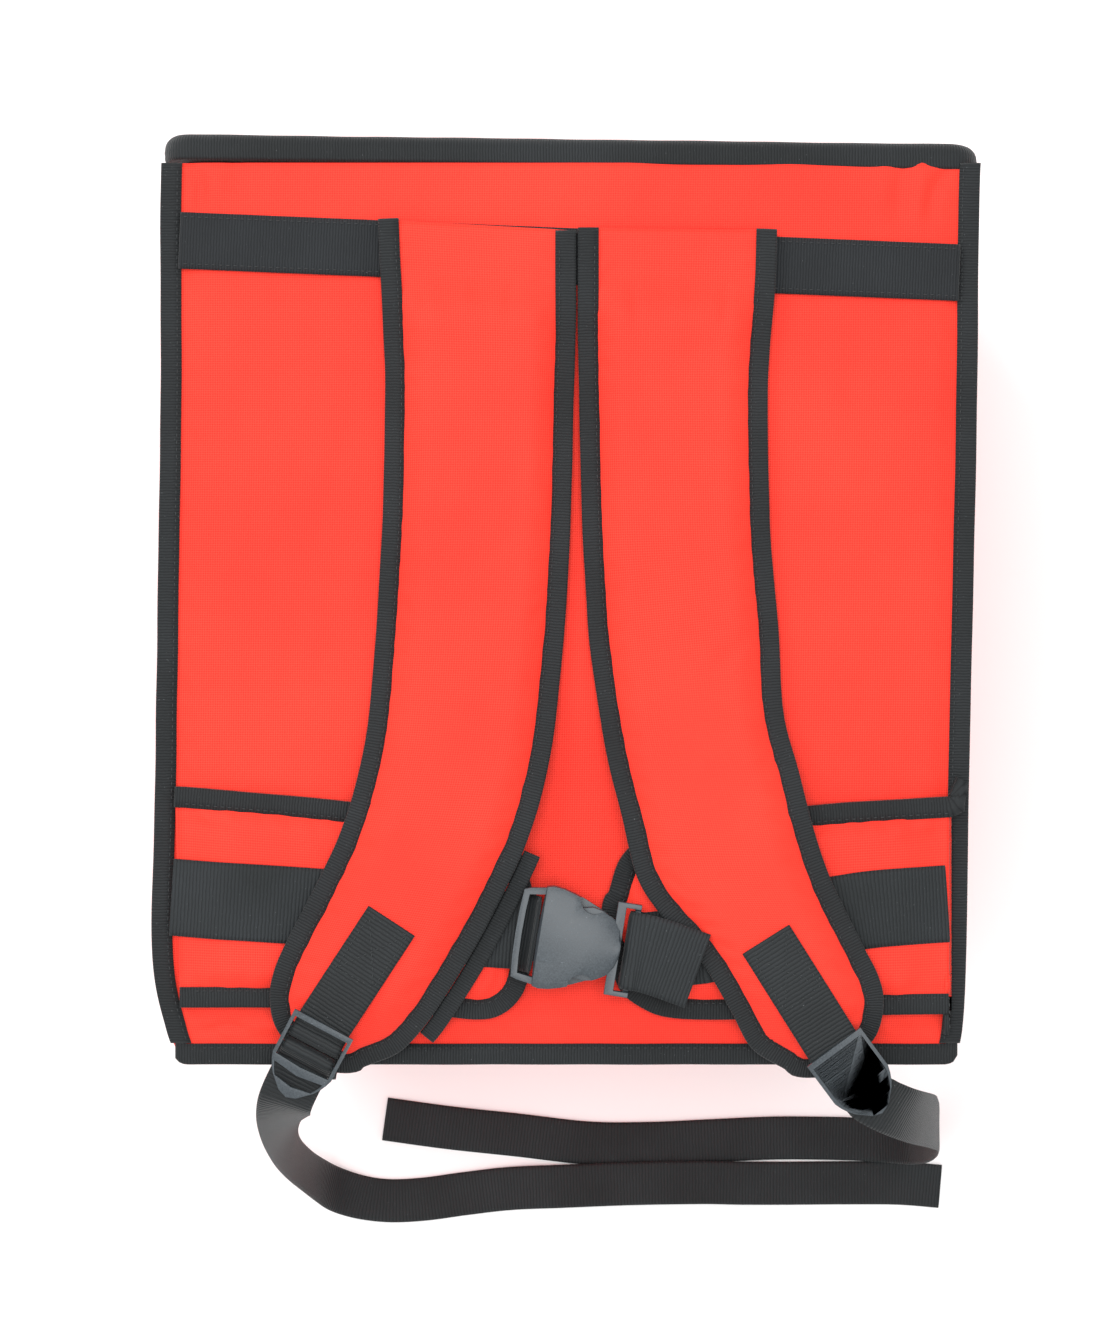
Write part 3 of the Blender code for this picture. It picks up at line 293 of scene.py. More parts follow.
# Sparse pale specks: tape and webbing use them as painted highlights, the plastic as pale specks in its
# colour.
dots = noise_node(tone_and_specks, start.outputs["Vector"], 1500.0, 1.0, 0.4)
edge = math_node(tone_and_specks, "SUBTRACT", 0.80, math_node(tone_and_specks, "MULTIPLY", start.outputs["Specks"], 0.08))
speck_mask = math_node(tone_and_specks, "MULTIPLY", math_node(tone_and_specks, "SUBTRACT", dots, edge), 12.0)
tone_and_specks.links.new(math_node(tone_and_specks, "MINIMUM", math_node(tone_and_specks, "MAXIMUM", speck_mask, 0.0), 1.0), end.inputs["PaleSpecks"])
print("groups:", [group.name for group in bpy.data.node_groups])

# %% [markdown]
# ## Finishes
# The cloth is red polyester with a fine plain weave and a soft sheen. Tape and webbing are
# almost black with ribs across their length. The plastic is a cool dark grey with the fine
# grain of its mould. Every finish mixes its colour from the groups' masks, and feeds their
# heights to a Bump node. The colours carry painted shade in the weave's gaps, the ribs'
# grooves and the thread's plies, and painted highlights as pale specks on tape and webbing.


# %% Finish builder
def place_group(tree, group, vector, **values):
    """Group node with its vector linked and its values set."""
    node = tree.nodes.new("ShaderNodeGroup")
    node.node_tree = group
    tree.links.new(vector, node.inputs["Vector"])
    for name, value in values.items():
        node.inputs[name].default_value = value
    return node


def mix_colour(tree, factor, first, second):
    """Blend of two colours by a factor socket; a colour is a tuple or a socket."""
    node = tree.nodes.new("ShaderNodeMix")
    node.data_type = "RGBA"
    tree.links.new(factor, node.inputs["Factor"])
    for socket, colour in ((node.inputs[6], first), (node.inputs[7], second)):
        if isinstance(colour, tuple):
            socket.default_value = (*colour, 1.0)
        else:
            tree.links.new(colour, socket)
    return node.outputs[2]


def span(tree, value, low, high, to_low=0.0, to_high=1.0):
    """Value read between two limits and kept between two others."""
    node = tree.nodes.new("ShaderNodeMapRange")
    tree.links.new(value, node.inputs["Value"])
    for name, number in (("From Min", low), ("From Max", high), ("To Min", to_low), ("To Max", to_high)):
        node.inputs[name].default_value = number
    return node.outputs["Result"]


def start_finish(name, source):
    """Material with its shader, and the vector it reads: the cloth map or Object coordinates."""
    material = bpy.data.materials.new(name)
    material.use_nodes = True
    tree = material.node_tree
    shader = tree.nodes["Principled BSDF"]
    if source == "cloth":
        node = tree.nodes.new("ShaderNodeUVMap")
        node.uv_map = "cloth"
        return material, tree, shader, node.outputs["UV"]
    node = tree.nodes.new("ShaderNodeTexCoord")
    return material, tree, shader, node.outputs["Object"]


def bump(tree, shader, layers):
    """Bump nodes in a chain; each layer is a height socket, a strength and a depth."""
    normal = None
    for height, strength, depth in layers:
        node = tree.nodes.new("ShaderNodeBump")
        node.inputs["Strength"].default_value = strength
        node.inputs["Distance"].default_value = depth
        tree.links.new(height, node.inputs["Height"])
        if normal is not None:
            tree.links.new(normal, node.inputs["Normal"])
        normal = node.outputs["Normal"]
    tree.links.new(normal, shader.inputs["Normal"])


def object_vector(tree):
    return tree.nodes.new("ShaderNodeTexCoord").outputs["Object"]


# %% Red cloth
def red_cloth(name, pitch, bright=(0.93, 0.040, 0.018), gap_shade=(0.60, 0.008, 0.004)):
    """Woven red polyester with painted shade: a deeper red painted into the gaps of the weave, so the
    threads' crossings look paler.
    """
    material, tree, shader, vector = start_finish(name, "cloth")
    threads = place_group(tree, weave, vector, Pitch=pitch, Unevenness=0.6)
    tone = place_group(tree, tone_and_specks, object_vector(tree), Scale=9.0, Specks=0.2)
    patchy = mix_colour(tree, span(tree, tone.outputs["Patches"], 0.35, 0.65), (0.86, 0.030, 0.013), bright)
    # Painted shade: a deeper red painted into the gaps of the weave, up to three quarters strong.
    weave_shaded = mix_colour(tree, span(tree, threads.outputs["Gaps"], 0.0, 1.0, 0.0, 0.75), patchy, gap_shade)
    tree.links.new(weave_shaded, shader.inputs["Base Color"])
    tree.links.new(span(tree, threads.outputs["Height"], 0.0, 1.0, 0.82, 0.62), shader.inputs["Roughness"])
    shader.inputs["Sheen Weight"].default_value = 0.15
    shader.inputs["Sheen Roughness"].default_value = 0.45
    shader.inputs["Sheen Tint"].default_value = (1.0, 0.55, 0.50, 1.0)
    shader.inputs["Specular IOR Level"].default_value = 0.35
    slow = noise_node(tree, object_vector(tree), 60.0, 3.0)
    bump(tree, shader, [(slow, 0.25, 0.0015), (threads.outputs["Height"], 0.55, 0.00025)])
    return material


cloth = red_cloth("red_cloth", 0.0021)


# %% Tape and webbing
def ribbed(name, pitch, dark, pale, rough, thread=0.0006):
    """Ribbed black textile with painted light: near-black shade painted into the grooves between the ribs, so
    the crowns look pale, and pale grey specks painted on as highlights.
    """
    material, tree, shader, vector = start_finish(name, "cloth")
    rib = place_group(tree, ribs, vector, Pitch=pitch, Thread=thread)
    tone = place_group(tree, tone_and_specks, object_vector(tree), Scale=18.0, Specks=0.6)
    patchy = mix_colour(tree, span(tree, tone.outputs["Patches"], 0.35, 0.7), dark, pale)
    # Painted shade: near-black painted into the grooves between the ribs.
    groove_shaded = mix_colour(tree, rib.outputs["Gaps"], patchy, (0.0025, 0.003, 0.0035))
    # Painted highlights: pale grey specks standing in for glints off the threads.
    glint_specked = mix_colour(tree, span(tree, tone.outputs["PaleSpecks"], 0.0, 1.0, 0.0, 0.35), groove_shaded,
                        (0.25, 0.27, 0.28))
    tree.links.new(glint_specked, shader.inputs["Base Color"])
    tree.links.new(span(tree, rib.outputs["Height"], 0.0, 1.0, rough + 0.12, rough),
                   shader.inputs["Roughness"])
    shader.inputs["Specular IOR Level"].default_value = 0.30
    shader.inputs["Sheen Weight"].default_value = 0.10
    shader.inputs["Sheen Roughness"].default_value = 0.4
    bump(tree, shader, [(rib.outputs["Height"], 0.7, 0.0004)])
    return material


tape_finish = ribbed("black_tape", 0.00130, (0.009, 0.011, 0.012), (0.016, 0.019, 0.021), 0.62)
band_finish = ribbed("black_band", 0.00130, (0.008, 0.010, 0.012), (0.014, 0.017, 0.020), 0.60)
belt_finish = ribbed("black_belt", 0.00162, (0.009, 0.012, 0.013), (0.017, 0.021, 0.024), 0.55)
web_finish = ribbed("black_webbing", 0.00178, (0.009, 0.011, 0.012), (0.017, 0.021, 0.023), 0.55)


# %% Plastic and thread
def moulded_plastic(name, colour, pale, rough):
    """Spark-textured plastic: fine grain in colour, gloss and bump."""
    material, tree, shader, vector = start_finish(name, "object")
    grain = noise_node(tree, vector, 1400.0, 2.0, 0.7)
    tone = place_group(tree, tone_and_specks, vector, Scale=40.0, Specks=0.9)
    base = mix_colour(tree, span(tree, grain, 0.35, 0.68), colour, pale)
    specked = mix_colour(tree, span(tree, tone.outputs["PaleSpecks"], 0.0, 1.0, 0.0, 0.5), base, (0.20, 0.24, 0.27))
    tree.links.new(specked, shader.inputs["Base Color"])
    tree.links.new(span(tree, grain, 0.3, 0.7, rough - 0.06, rough + 0.10), shader.inputs["Roughness"])
    shader.inputs["Specular IOR Level"].default_value = 0.5
    bump(tree, shader, [(grain, 0.35, 0.00012)])
    return material


def thread_finish(name, colour):
    """Twisted sewing thread: slanting plies in bump, with painted shade in the colour along the grooves
    between the plies.
    """
    material, tree, shader, vector = start_finish(name, "object")
    split = tree.nodes.new("ShaderNodeSeparateXYZ")
    tree.links.new(vector, split.inputs[0])
    slant = math_node(tree, "ADD", split.outputs["X"],
                      math_node(tree, "ADD", split.outputs["Y"], split.outputs["Z"]))
    ply = math_node(tree, "MULTIPLY_ADD", wave(tree, slant, 0.0005), 0.5, 0.5)
    # Painted shade: the colour darkened to 55 % in the grooves between the plies.
    ply_shade = tuple(0.55 * part for part in colour)
    tree.links.new(mix_colour(tree, ply, ply_shade, colour), shader.inputs["Base Color"])
    shader.inputs["Roughness"].default_value = 0.6
    bump(tree, shader, [(ply, 0.4, 0.0001)])
    return material


plastic = moulded_plastic("dark_plastic", (0.030, 0.038, 0.045), (0.055, 0.068, 0.078), 0.42)
black_thread = thread_finish("black_thread", (0.022, 0.026, 0.028))
print("finishes:", len(bpy.data.materials))

# %% [markdown]
# ## Ribbons of webbing
# Webbing is a flat band with a thin rounded section. It is carried along a line, and at each
# step the way its width lies is given too, so it can twist. The two loose ends come first,
# because they are the pieces that spread furthest.


# %% Ribbon
def ribbon(name, path, across, width, material, node=None, thick=WEB, cup=0.0):
    """Rounded flat section carried along a path: across is made square to the path's direction."""
    path = np.asarray(path, float)
    along = unit(np.gradient(path, axis=0))
    across = np.broadcast_to(np.asarray(across, float), path.shape)
    across = unit(across - along * (across * along).sum(1, keepdims=True))
    normal = np.cross(along, across)
    width = np.broadcast_to(width, len(path))
    s = np.linspace(-1, 1, 15)
    s = np.sign(s) * abs(s) ** 0.85
    lift = thick / 2 * np.sqrt(np.clip(1 - abs(s) ** 9, 0.0, 1))
    sag = cup * (s ** 2 - 0.4)
    side = np.concatenate([s, s[::-1]])
    up = np.concatenate([lift + sag, (sag - lift)[::-1]])
    up[[0, 14, 15, 29]] += np.array([1, 1, -1, -1]) * thick * 0.12
    rings = (path[:, None] + across[:, None] * (side[None, :, None] * width[:, None, None] / 2)
             + normal[:, None] * up[None, :, None])
    return loft(name, rings, material, node)


def turned(degrees):
    """Level unit vector at an angle from +X."""
    angle = np.radians(degrees)
    return np.stack([np.cos(angle), np.sin(angle), 0 * angle], -1)


# %% Where the ladder locks sit
LOCK_LENGTH, LOCK_SLOPE, LOCK_RISE = 0.0365, 0.20, 0.0216
LOCKS = {
    "left": ((-0.578, 0.949), -28.0, (-0.417, 0.8405)),
    "right": ((0.638, 0.973), 36.5, (0.4765, 0.8600)),
}


def lock_point(word, t, s, h):
    """World point of a lock: t down its length, s across it, h over its sloping plane."""
    (across, down), turn, _ = LOCKS[word]
    t, s, h = np.broadcast_arrays(np.asarray(t, float), s, h)
    flat = place(across, down) + t[..., None] * turned(turn - 90.0)[:2] + s[..., None] * turned(turn)[:2]
    return np.concatenate([flat, (DEPTH + LOCK_RISE - LOCK_SLOPE * t + h)[..., None]], -1)


TAIL_START = ((0.0212, -0.0029), (0.0255, -0.0030), (0.0300, -0.0028))

# %% Routes of the loose ends: x, y, z and the turn of the width in degrees
TAIL_ROUTES = {
    "left": (
        (-0.1240, -0.2212, 0.3306, -25.0),
        (-0.1262, -0.2270, 0.3260, -16.0),
        (-0.1285, -0.2350, 0.3080, 4.0),
        (-0.1315, -0.2460, 0.2720, 28.0),
        (-0.1350, -0.2570, 0.2320, 48.0),
        (-0.1380, -0.2680, 0.1930, 62.0),
        (-0.1405, -0.2800, 0.1500, 74.0),
        (-0.1420, -0.2920, 0.1070, 83.0),
        (-0.1415, -0.3040, 0.0660, 88.0),
        (-0.1375, -0.3160, 0.0320, 90.0),
        (-0.1285, -0.3262, 0.0115, 90.0),
        (-0.1145, -0.3325, 0.0028, 90.0),
        (-0.0980, -0.3348, 0.0011, 90.0),
        (-0.0780, -0.3338, 0.0011, 92.0),
        (-0.0560, -0.3308, 0.0011, 97.0),
        (-0.0300, -0.3277, 0.0018, 95.0),
        (0.0000, -0.3262, 0.0030, 92.0),
        (0.0400, -0.3246, 0.0032, 91.0),
        (0.0800, -0.3240, 0.0032, 90.0),
        (0.1000, -0.3244, 0.0030, 90.0),
        (0.1250, -0.3248, 0.0013, 90.0),
        (0.1600, -0.3246, 0.0011, 90.0),
        (0.1920, -0.3248, 0.0011, 90.0),
        (0.2150, -0.3266, 0.0011, 86.0),
    ),
    "right": (
        (0.1420, -0.2264, 0.3298, 46.0),
        (0.1490, -0.2300, 0.3245, 55.0),
        (0.1560, -0.2336, 0.3150, 64.0),
        (0.1625, -0.2374, 0.3000, 72.0),
        (0.1685, -0.2416, 0.2800, 78.0),
        (0.1740, -0.2462, 0.2580, 83.0),
        (0.1790, -0.2515, 0.2320, 87.0),
        (0.1848, -0.2580, 0.2000, 90.0),
        (0.1905, -0.2670, 0.1600, 90.0),
        (0.1950, -0.2760, 0.1200, 90.0),
        (0.1985, -0.2850, 0.0800, 90.0),
        (0.1990, -0.2930, 0.0450, 90.0),
        (0.1940, -0.2985, 0.0190, 90.0),
        (0.1820, -0.2998, 0.0060, 90.0),
        (0.1660, -0.2996, 0.0017, 90.0),
        (0.1460, -0.2992, 0.0011, 90.0),
        (0.1180, -0.2992, 0.0011, 90.0),
        (0.0820, -0.3008, 0.0011, 90.0),
        (0.0500, -0.3022, 0.0011, 90.0),
        (0.0150, -0.3020, 0.0011, 91.0),
        (-0.0250, -0.2975, 0.0011, 95.0),
        (-0.0650, -0.2932, 0.0011, 97.0),
        (-0.1012, -0.2882, 0.0011, 98.0),
    ),
}


# %% Loose ends
def tail(word):
    """Loose end from under the lock's tab down to the floor, lifted a little over its last two centimetres,
    where the real end is folded.
    """
    start = np.array(TAIL_START)
    head = lock_point(word, start[:, 0], 0.0, start[:, 1])
    head = np.column_stack([head, np.full(len(head), LOCKS[word][1])])
    route = np.vstack([head, curve(TAIL_ROUTES[word], 150)])
    path = evenly(route[:, :3], 240)
    far, old = lengths(path, 0), lengths(route[:, :3], 0)
    turn = np.interp(far, old, route[:, 3])
    left = far[-1] - far
    hem = 1 + 0.35 * ease((0.022 - left) / 0.0015)
    path[:, 2] += WEB / 2 * (hem - 1) * 0.5
    piece = ribbon("tail_cloth_" + word, path, turned(turn), WEB_WIDTH, web_finish, "tail_" + word,
                   cup=0.0002)
    return path, turned(turn), far[-1]


tail_lines = {word: tail(word) for word in ("left", "right")}
print({word: round(line[2], 3) for word, line in tail_lines.items()})

# %% [markdown]
# ## Outline of the bag and small folds
# The edge of the bag isn't straight: it narrows and widens by a few millimetres. The cloth
# between the seams is pulled by them, so it has small folds. Each fold is a row of a table: a
# line from one point to another, the width of the fold and its height, which is negative for
# a crease.

# %% Edge of the bag and folds
BAG_EDGE = np.array((
    (0.00, 0.983, 1.017),
    (0.07, 0.988, 1.007),
    (0.29, 0.988, 1.002),
    (0.50, 0.995, 0.992),
    (0.72, 1.002, 0.981),
    (0.88, 1.009, 0.975),
    (0.96, 0.975, 0.966),
    (1.00, 0.940, 0.946),
))
edge_rows = curve(BAG_EDGE, 120)


def bag_edge(side, y):
    """World x of the outer edge at a height y; side is -1 or 1."""
    return side * np.interp(down_of(y), edge_rows[:, 0], edge_rows[:, 1 if side < 0 else 2]) * WIDTH / 2


def folds(x, y, table):
    """Sum of folds: each falls off as a bell on both sides of its line and towards its ends."""
    total = np.zeros(np.broadcast(x, y).shape)
    for x0, y0, x1, y1, width, height in np.asarray(table) / 1000.0:
        step = np.array([x1 - x0, y1 - y0])
        share = ((x - x0) * step[0] + (y - y0) * step[1]) / (step @ step)
        kept = np.clip(share, 0, 1)
        far = np.hypot(x - x0 - kept * step[0], y - y0 - kept * step[1])
        total += height * np.exp(-(far / width) ** 2) * (0.35 + 0.65 * np.sin(np.pi * kept) ** 0.5)
    return total


# Folds of the back panel in millimetres: x, y, x, y, width, height
BACK_FOLDS = (
    (-170, 198, -165, 190, 2.2, -1.8), (-165, 190, -165, 176, 2.4, -2.2), (-172, 188, -171, 176, 2.5, 1.2),
    (-158, 192, -156, 180, 4.0, 1.2), (-150, 197, -146, 186, 3.5, -0.8),
    (174, 195, 166, 186, 2.6, -2.2), (166, 186, 163, 172, 3.2, -1.6), (160, 196, 158, 168, 4.5, 1.4),
    (152, 196, 150, 170, 3.6, -1.3), (144, 195, 141, 176, 4.5, 0.8),
    (-173, -195, -161, -195, 2.4, -1.4), (-161, -195, -153, -192, 2.4, -1.2),
    (-153, -192, -144, -194, 2.4, -1.2),
    (-140, -193, -120, -194, 3.0, 0.8), (150, -193, 168, -196, 3.0, -1.2), (120, -194, 140, -192, 3.4, 0.7),
    (-95, 120, -110, 60, 9.0, 0.7), (-120, 20, -112, -60, 10.0, 0.6), (115, 110, 128, 40, 9.0, 0.7),
    (130, 0, 120, -70, 10.0, 0.6), (-40, -176, 0, -183, 5.0, -0.9), (5, -180, 60, -186, 6.0, 0.8),
    (10, 150, 12, 60, 5.0, -0.6), (6, 40, 8, -60, 5.0, 0.5), (-140, -80, -120, -84, 5.0, 0.5),
)
print("edge rows", edge_rows.shape, "folds", len(BACK_FOLDS))

# %% [markdown]
# ## Padded walls
# Each wall is one padded sheet. Its foam keeps it nearly flat, it is pressed thin where a tape
# folds round its edge, and the cloth between is slightly uneven. The height over the wall's
# plane is a formula of x and y, so the wall is two grids joined at the rim, written as rings.


# %% Padded wall
def wall_rings(x, y, high, low, to_world):
    """Closed rings: the outer face from one side to the other and back along the inner face."""
    over = to_world(x, y, high)
    under = to_world(x, y, low)
    return np.concatenate([over, under[:, ::-1]], axis=1)


def near_edges(x, y, left, right, low):
    """Distance inwards from the nearest bound edge."""
    return np.minimum(np.minimum(x - left, right - x), y - low)


def back_wall():
    """Back panel: raised 7 mm over its flange, with folds and a slow unevenness."""
    y = np.concatenate([np.linspace(-HEIGHT / 2 + EDGE, -0.19, 16)[:-1],
                        np.linspace(-0.19, LID_LINE - GAP, 130)])
    share = np.concatenate([np.linspace(0, 0.075, 14)[:-1], np.linspace(0.075, 0.925, 100),
                            np.linspace(0.925, 1, 14)[1:]])
    left, right = bag_edge(-1, y) + EDGE, bag_edge(1, y) - EDGE
    x = left[:, None] + (right - left)[:, None] * share
    y = np.repeat(y[:, None], len(share), 1)
    far = near_edges(x, y, left[:, None] - EDGE, right[:, None] + EDGE, -HEIGHT / 2)
    rise = ease((far - LIP + 0.001) / 0.011)
    high = -(TAPE_SET + EDGE) * (1 - rise)
    high += rise * (folds(x, y, BACK_FOLDS) + 0.00022 * ripple(x, y, 0.060, 3) - 0.0004)
    seam = 0.0005 * np.sin(6.28 * (x + y) / 0.013 + ripple(x, y, 0.03,
                                                           5)) * np.exp(-((far - 0.014) / 0.004) ** 2)
    high += seam * rise
    low = -(TAPE_SET + EDGE + FLANGE) * (1 - rise) - WALL * rise
    high = np.minimum(high, 0.0012)
    rings = wall_rings(x, y, high, low, lambda a, b, h: np.stack([a, b, DEPTH + h], -1))
    piece = loft("back_cloth", rings, cloth, "back_panel")


def front_wall():
    """Front panel: flat where it lies on the floor."""
    y = np.linspace(-HEIGHT / 2 + EDGE, LID_LINE - GAP, 60)
    share = np.concatenate([np.linspace(0, 0.06, 8)[:-1], np.linspace(0.06, 0.94, 30),
                            np.linspace(0.94, 1, 8)[1:]])
    left, right = bag_edge(-1, y) + EDGE, bag_edge(1, y) - EDGE
    x = left[:, None] + (right - left)[:, None] * share
    y = np.repeat(y[:, None], len(share), 1)
    far = near_edges(x, y, left[:, None] - EDGE, right[:, None] + EDGE, -HEIGHT / 2)
    rise = ease((far - LIP + 0.001) / 0.008)
    low = (TAPE_SET + EDGE) * (1 - rise)
    high = (TAPE_SET + EDGE + FLANGE) * (1 - rise) + WALL * rise
    rings = wall_rings(x, y, high, low, lambda a, b, h: np.stack([a, b, h], -1))
    piece = loft("front_cloth", rings, cloth, "front_panel")


def side_wall(word, side):
    """Side wall: bows out 5 mm in the middle, with slack folds near its corners."""
    foot = -HEIGHT / 2
    y = np.concatenate([np.linspace(foot + EDGE, foot + 0.024, 12)[:-1],
                        np.linspace(foot + 0.024, LID_LINE - GAP, 80)])
    z = np.linspace(WALL + GAP, DEPTH - WALL - GAP, 70)
    y, z = np.meshgrid(y, z, indexing="ij")
    rise = ease((y - foot - LIP + 0.001) / 0.010)
    round_y = np.clip((y - foot) / (LID_LINE - foot), 0, 1)
    round_z = (z - z.min()) / (z.max() - z.min())
    bow = 0.0048 * 16 * round_y * (1 - round_y) * round_z * (1 - round_z)
    seed = 11 if side < 0 else 12
    slack = 0.0009 * ripple(y, z, 0.11, seed) + 0.0004 * ripple(y, z, 0.035, seed + 5)
    corner = folds(y * side, z, ((-190 * side, 20, -150 * side, 60, 6, -1.6),
                                 (180 * side, 25, 150 * side, 70, 7, -1.4),
                                 (-195 * side, 295, -150 * side, 262, 6, -1.5),
                                 (180 * side, 298, 140 * side, 268, 7, -1.3),
                                 (-60 * side, 150, 60 * side, 175, 14, -0.9)))
    edge = np.minimum(z - z.min(), z.max() - z)
    bow = bow + (slack + corner) * ease(edge / 0.02)
    face = bag_edge(side, np.where(rise < 0.02, foot + LIP / 2, y)) - side * LIP
    outer = rise * bow - (TAPE_SET + EDGE) * (1 - rise)
    inner = rise * (bow - WALL) - (TAPE_SET + EDGE + FLANGE) * (1 - rise)
    rings = wall_rings(y, z, side * outer, side * inner, lambda a, b, h: np.stack([face + h, a, b], -1))
    piece = loft("side_cloth_" + word, rings, cloth, "side_panel_" + word)


def bottom_cloth():
    """Bottom wall between the sides, bowed like them."""
    outer_y = -HEIGHT / 2 + LIP
    left = bag_edge(-1, outer_y) + LIP + WALL + GAP
    right = bag_edge(1, outer_y) - LIP - WALL - GAP
    x, z = np.meshgrid(np.linspace(left, right, 80), np.linspace(WALL + GAP, DEPTH - WALL - GAP, 70),
                       indexing="ij")
    round_x = (x - left) / (right - left)
    round_z = (z - z.min()) / (z.max() - z.min())
    edge = np.minimum(np.minimum(x - left, right - x), np.minimum(z - z.min(), z.max() - z))
    bow = 0.0048 * 16 * round_x * (1 - round_x) * round_z * (1 - round_z)
    bow = bow + (0.0008 * ripple(x, z, 0.10, 21) + folds(x, z, ((-150, 30, -110, 80, 7, -1.4),
                 (150, 25, 115, 75, 7, -1.4), (-20, 160, 50, 190, 14, -0.8)))) * ease(edge / 0.02)
    rings = wall_rings(x, z, -bow, WALL - bow, lambda a, b, h: np.stack([a, outer_y + h, b], -1))
    piece = loft("bottom_cloth", rings, cloth, "bottom_panel")


back_wall()
front_wall()
side_wall("left", -1)
side_wall("right", 1)
bottom_cloth()
print("walls made")

# %% [markdown]
# ## Folded tape
# A tape folded over an edge has a U section: a rounded back round the edge and two thin arms
# that grip the cloth. The section is carried along the edge, and its arms follow the ground
# that they lie on, so a tape climbs with its pad.


# %% Tape along an edge
def u_section(thick, arm, corner=0.0011):
    """Closed U outline as depth from the edge and height over the underside."""
    bend = np.linspace(0, np.pi / 2, 5)
    low = np.stack([corner * (1 - np.sin(bend)), corner * (1 - np.cos(bend))], -1)
    high = low[::-1] * [1, -1] + [0, thick]
    far = np.array([[arm, 0.0], [arm * 0.6, -0.00008], [arm * 0.3, -0.00005]])
    top = far[::-1] * [1, -1] + [0, thick]
    inner = np.array([[arm, thick - TAPE], [arm * 0.5, thick - TAPE], [1.3 * TAPE, thick - TAPE],
                      [TAPE, thick - 1.5 * TAPE], [TAPE, 1.5 * TAPE], [1.3 * TAPE, TAPE], [arm * 0.5, TAPE],
                      [arm, TAPE]])
    return np.vstack([far, low, high, top, inner])


def tape(name, line, inward, up, ground=None, thick=BOUND, arm=LIP, node=None, closed=False, seed=1,
         section=None, material=None, uneven=0.00018):
    """U section carried along a line; inward and up are the section's two directions."""
    line, inward = np.asarray(line, float), np.asarray(inward, float)
    up = np.broadcast_to(np.asarray(up, float), line.shape)
    shape = u_section(thick, arm) if section is None else section
    rings = line[:, None] + inward[:, None] * shape[None, :, :1] + up[:, None] * shape[None, :, 1:]
    far = lengths(line, 0)[:, None]
    swell = uneven * ripple(far, 7 * shape[None, :, 1] + 0 * far, 0.022, seed)
    rings = rings + up[:, None] * (swell * (shape[None, :, 1] > thick / 2) * (shape[None, :, 0] / arm))[...,
                                                                                                        None]
    rings = rings + inward[:, None] * (0.6 * uneven * ripple(far, 0 * far, 0.035, seed + 1))[..., None]
    if ground is not None:
        rings[..., 2] += ground(rings[..., 0], rings[..., 1])
    return loft(name, rings, material or tape_finish, node, closed)


# %% Stitches
STITCH_RADIUS = 0.00028


def stitches(name, line, up, pitch=0.0032, share=0.72, material=None,
             radius=STITCH_RADIUS):
    """One mesh of short threads along a line: each a six-sided spindle that dips at its ends."""
    line = np.asarray(line, float)
    far = lengths(line, 0)
    starts = np.arange(pitch / 2, far[-1] - pitch, pitch)
    steps = np.linspace(0, 1, 5)
    at = starts[:, None] + steps * pitch * share
    centre = np.stack([np.interp(at, far, column) for column in line.T], -1)
    along = unit(centre[:, -1:] - centre[:, :1])
    up = np.broadcast_to(np.asarray(up, float), line.shape)
    up = unit(np.stack([np.interp(at, far, column) for column in up.T], -1))
    side = unit(np.cross(along, up))
    centre = centre - up * (abs(steps * 2 - 1) ** 3 * radius * 1.6)[None, :, None]
    size = radius * np.sqrt(np.clip(1 - abs(steps * 2 - 1) ** 4, 0.06, 1))
    angles = np.radians(np.arange(0, 360, 60))
    rings = (centre[:, :, None] + side[:, :, None] * (np.cos(angles) * size[:, None])[None, ..., None]
             + up[:, :, None] * (np.sin(angles) * size[:, None])[None, ..., None])
    count, rows, sides = rings.shape[:3]
    i, k = np.meshgrid(np.arange(rows - 1), np.arange(sides), indexing="ij")
    n = (k + 1) % sides
    quads = np.stack([i * sides + k, i * sides + n, (i + 1) * sides + n, (i + 1) * sides + k],
                     -1).reshape(-1, 4)
    caps = np.array([np.arange(sides)[::-1], np.arange(sides) + (rows - 1) * sides])
    base = np.arange(count)[:, None, None] * rows * sides
    faces = (quads[None] + base).reshape(-1, 4).tolist() + (caps[None] + base).reshape(-1, sides).tolist()
    piece = make_mesh(name, rings, faces, None, material or black_thread, None)
    recalc(piece)
    return piece


def recalc(piece):
    """Turn a mesh's faces outwards."""
    shape = bmesh.new()
    shape.from_mesh(piece.data)
    bmesh.ops.recalc_face_normals(shape, faces=shape.faces)
    shape.to_mesh(piece.data)
    shape.free()


# %% Tapes of the bag
FOOT = -HEIGHT / 2
BACK_Z = DEPTH - TAPE_SET - BOUND


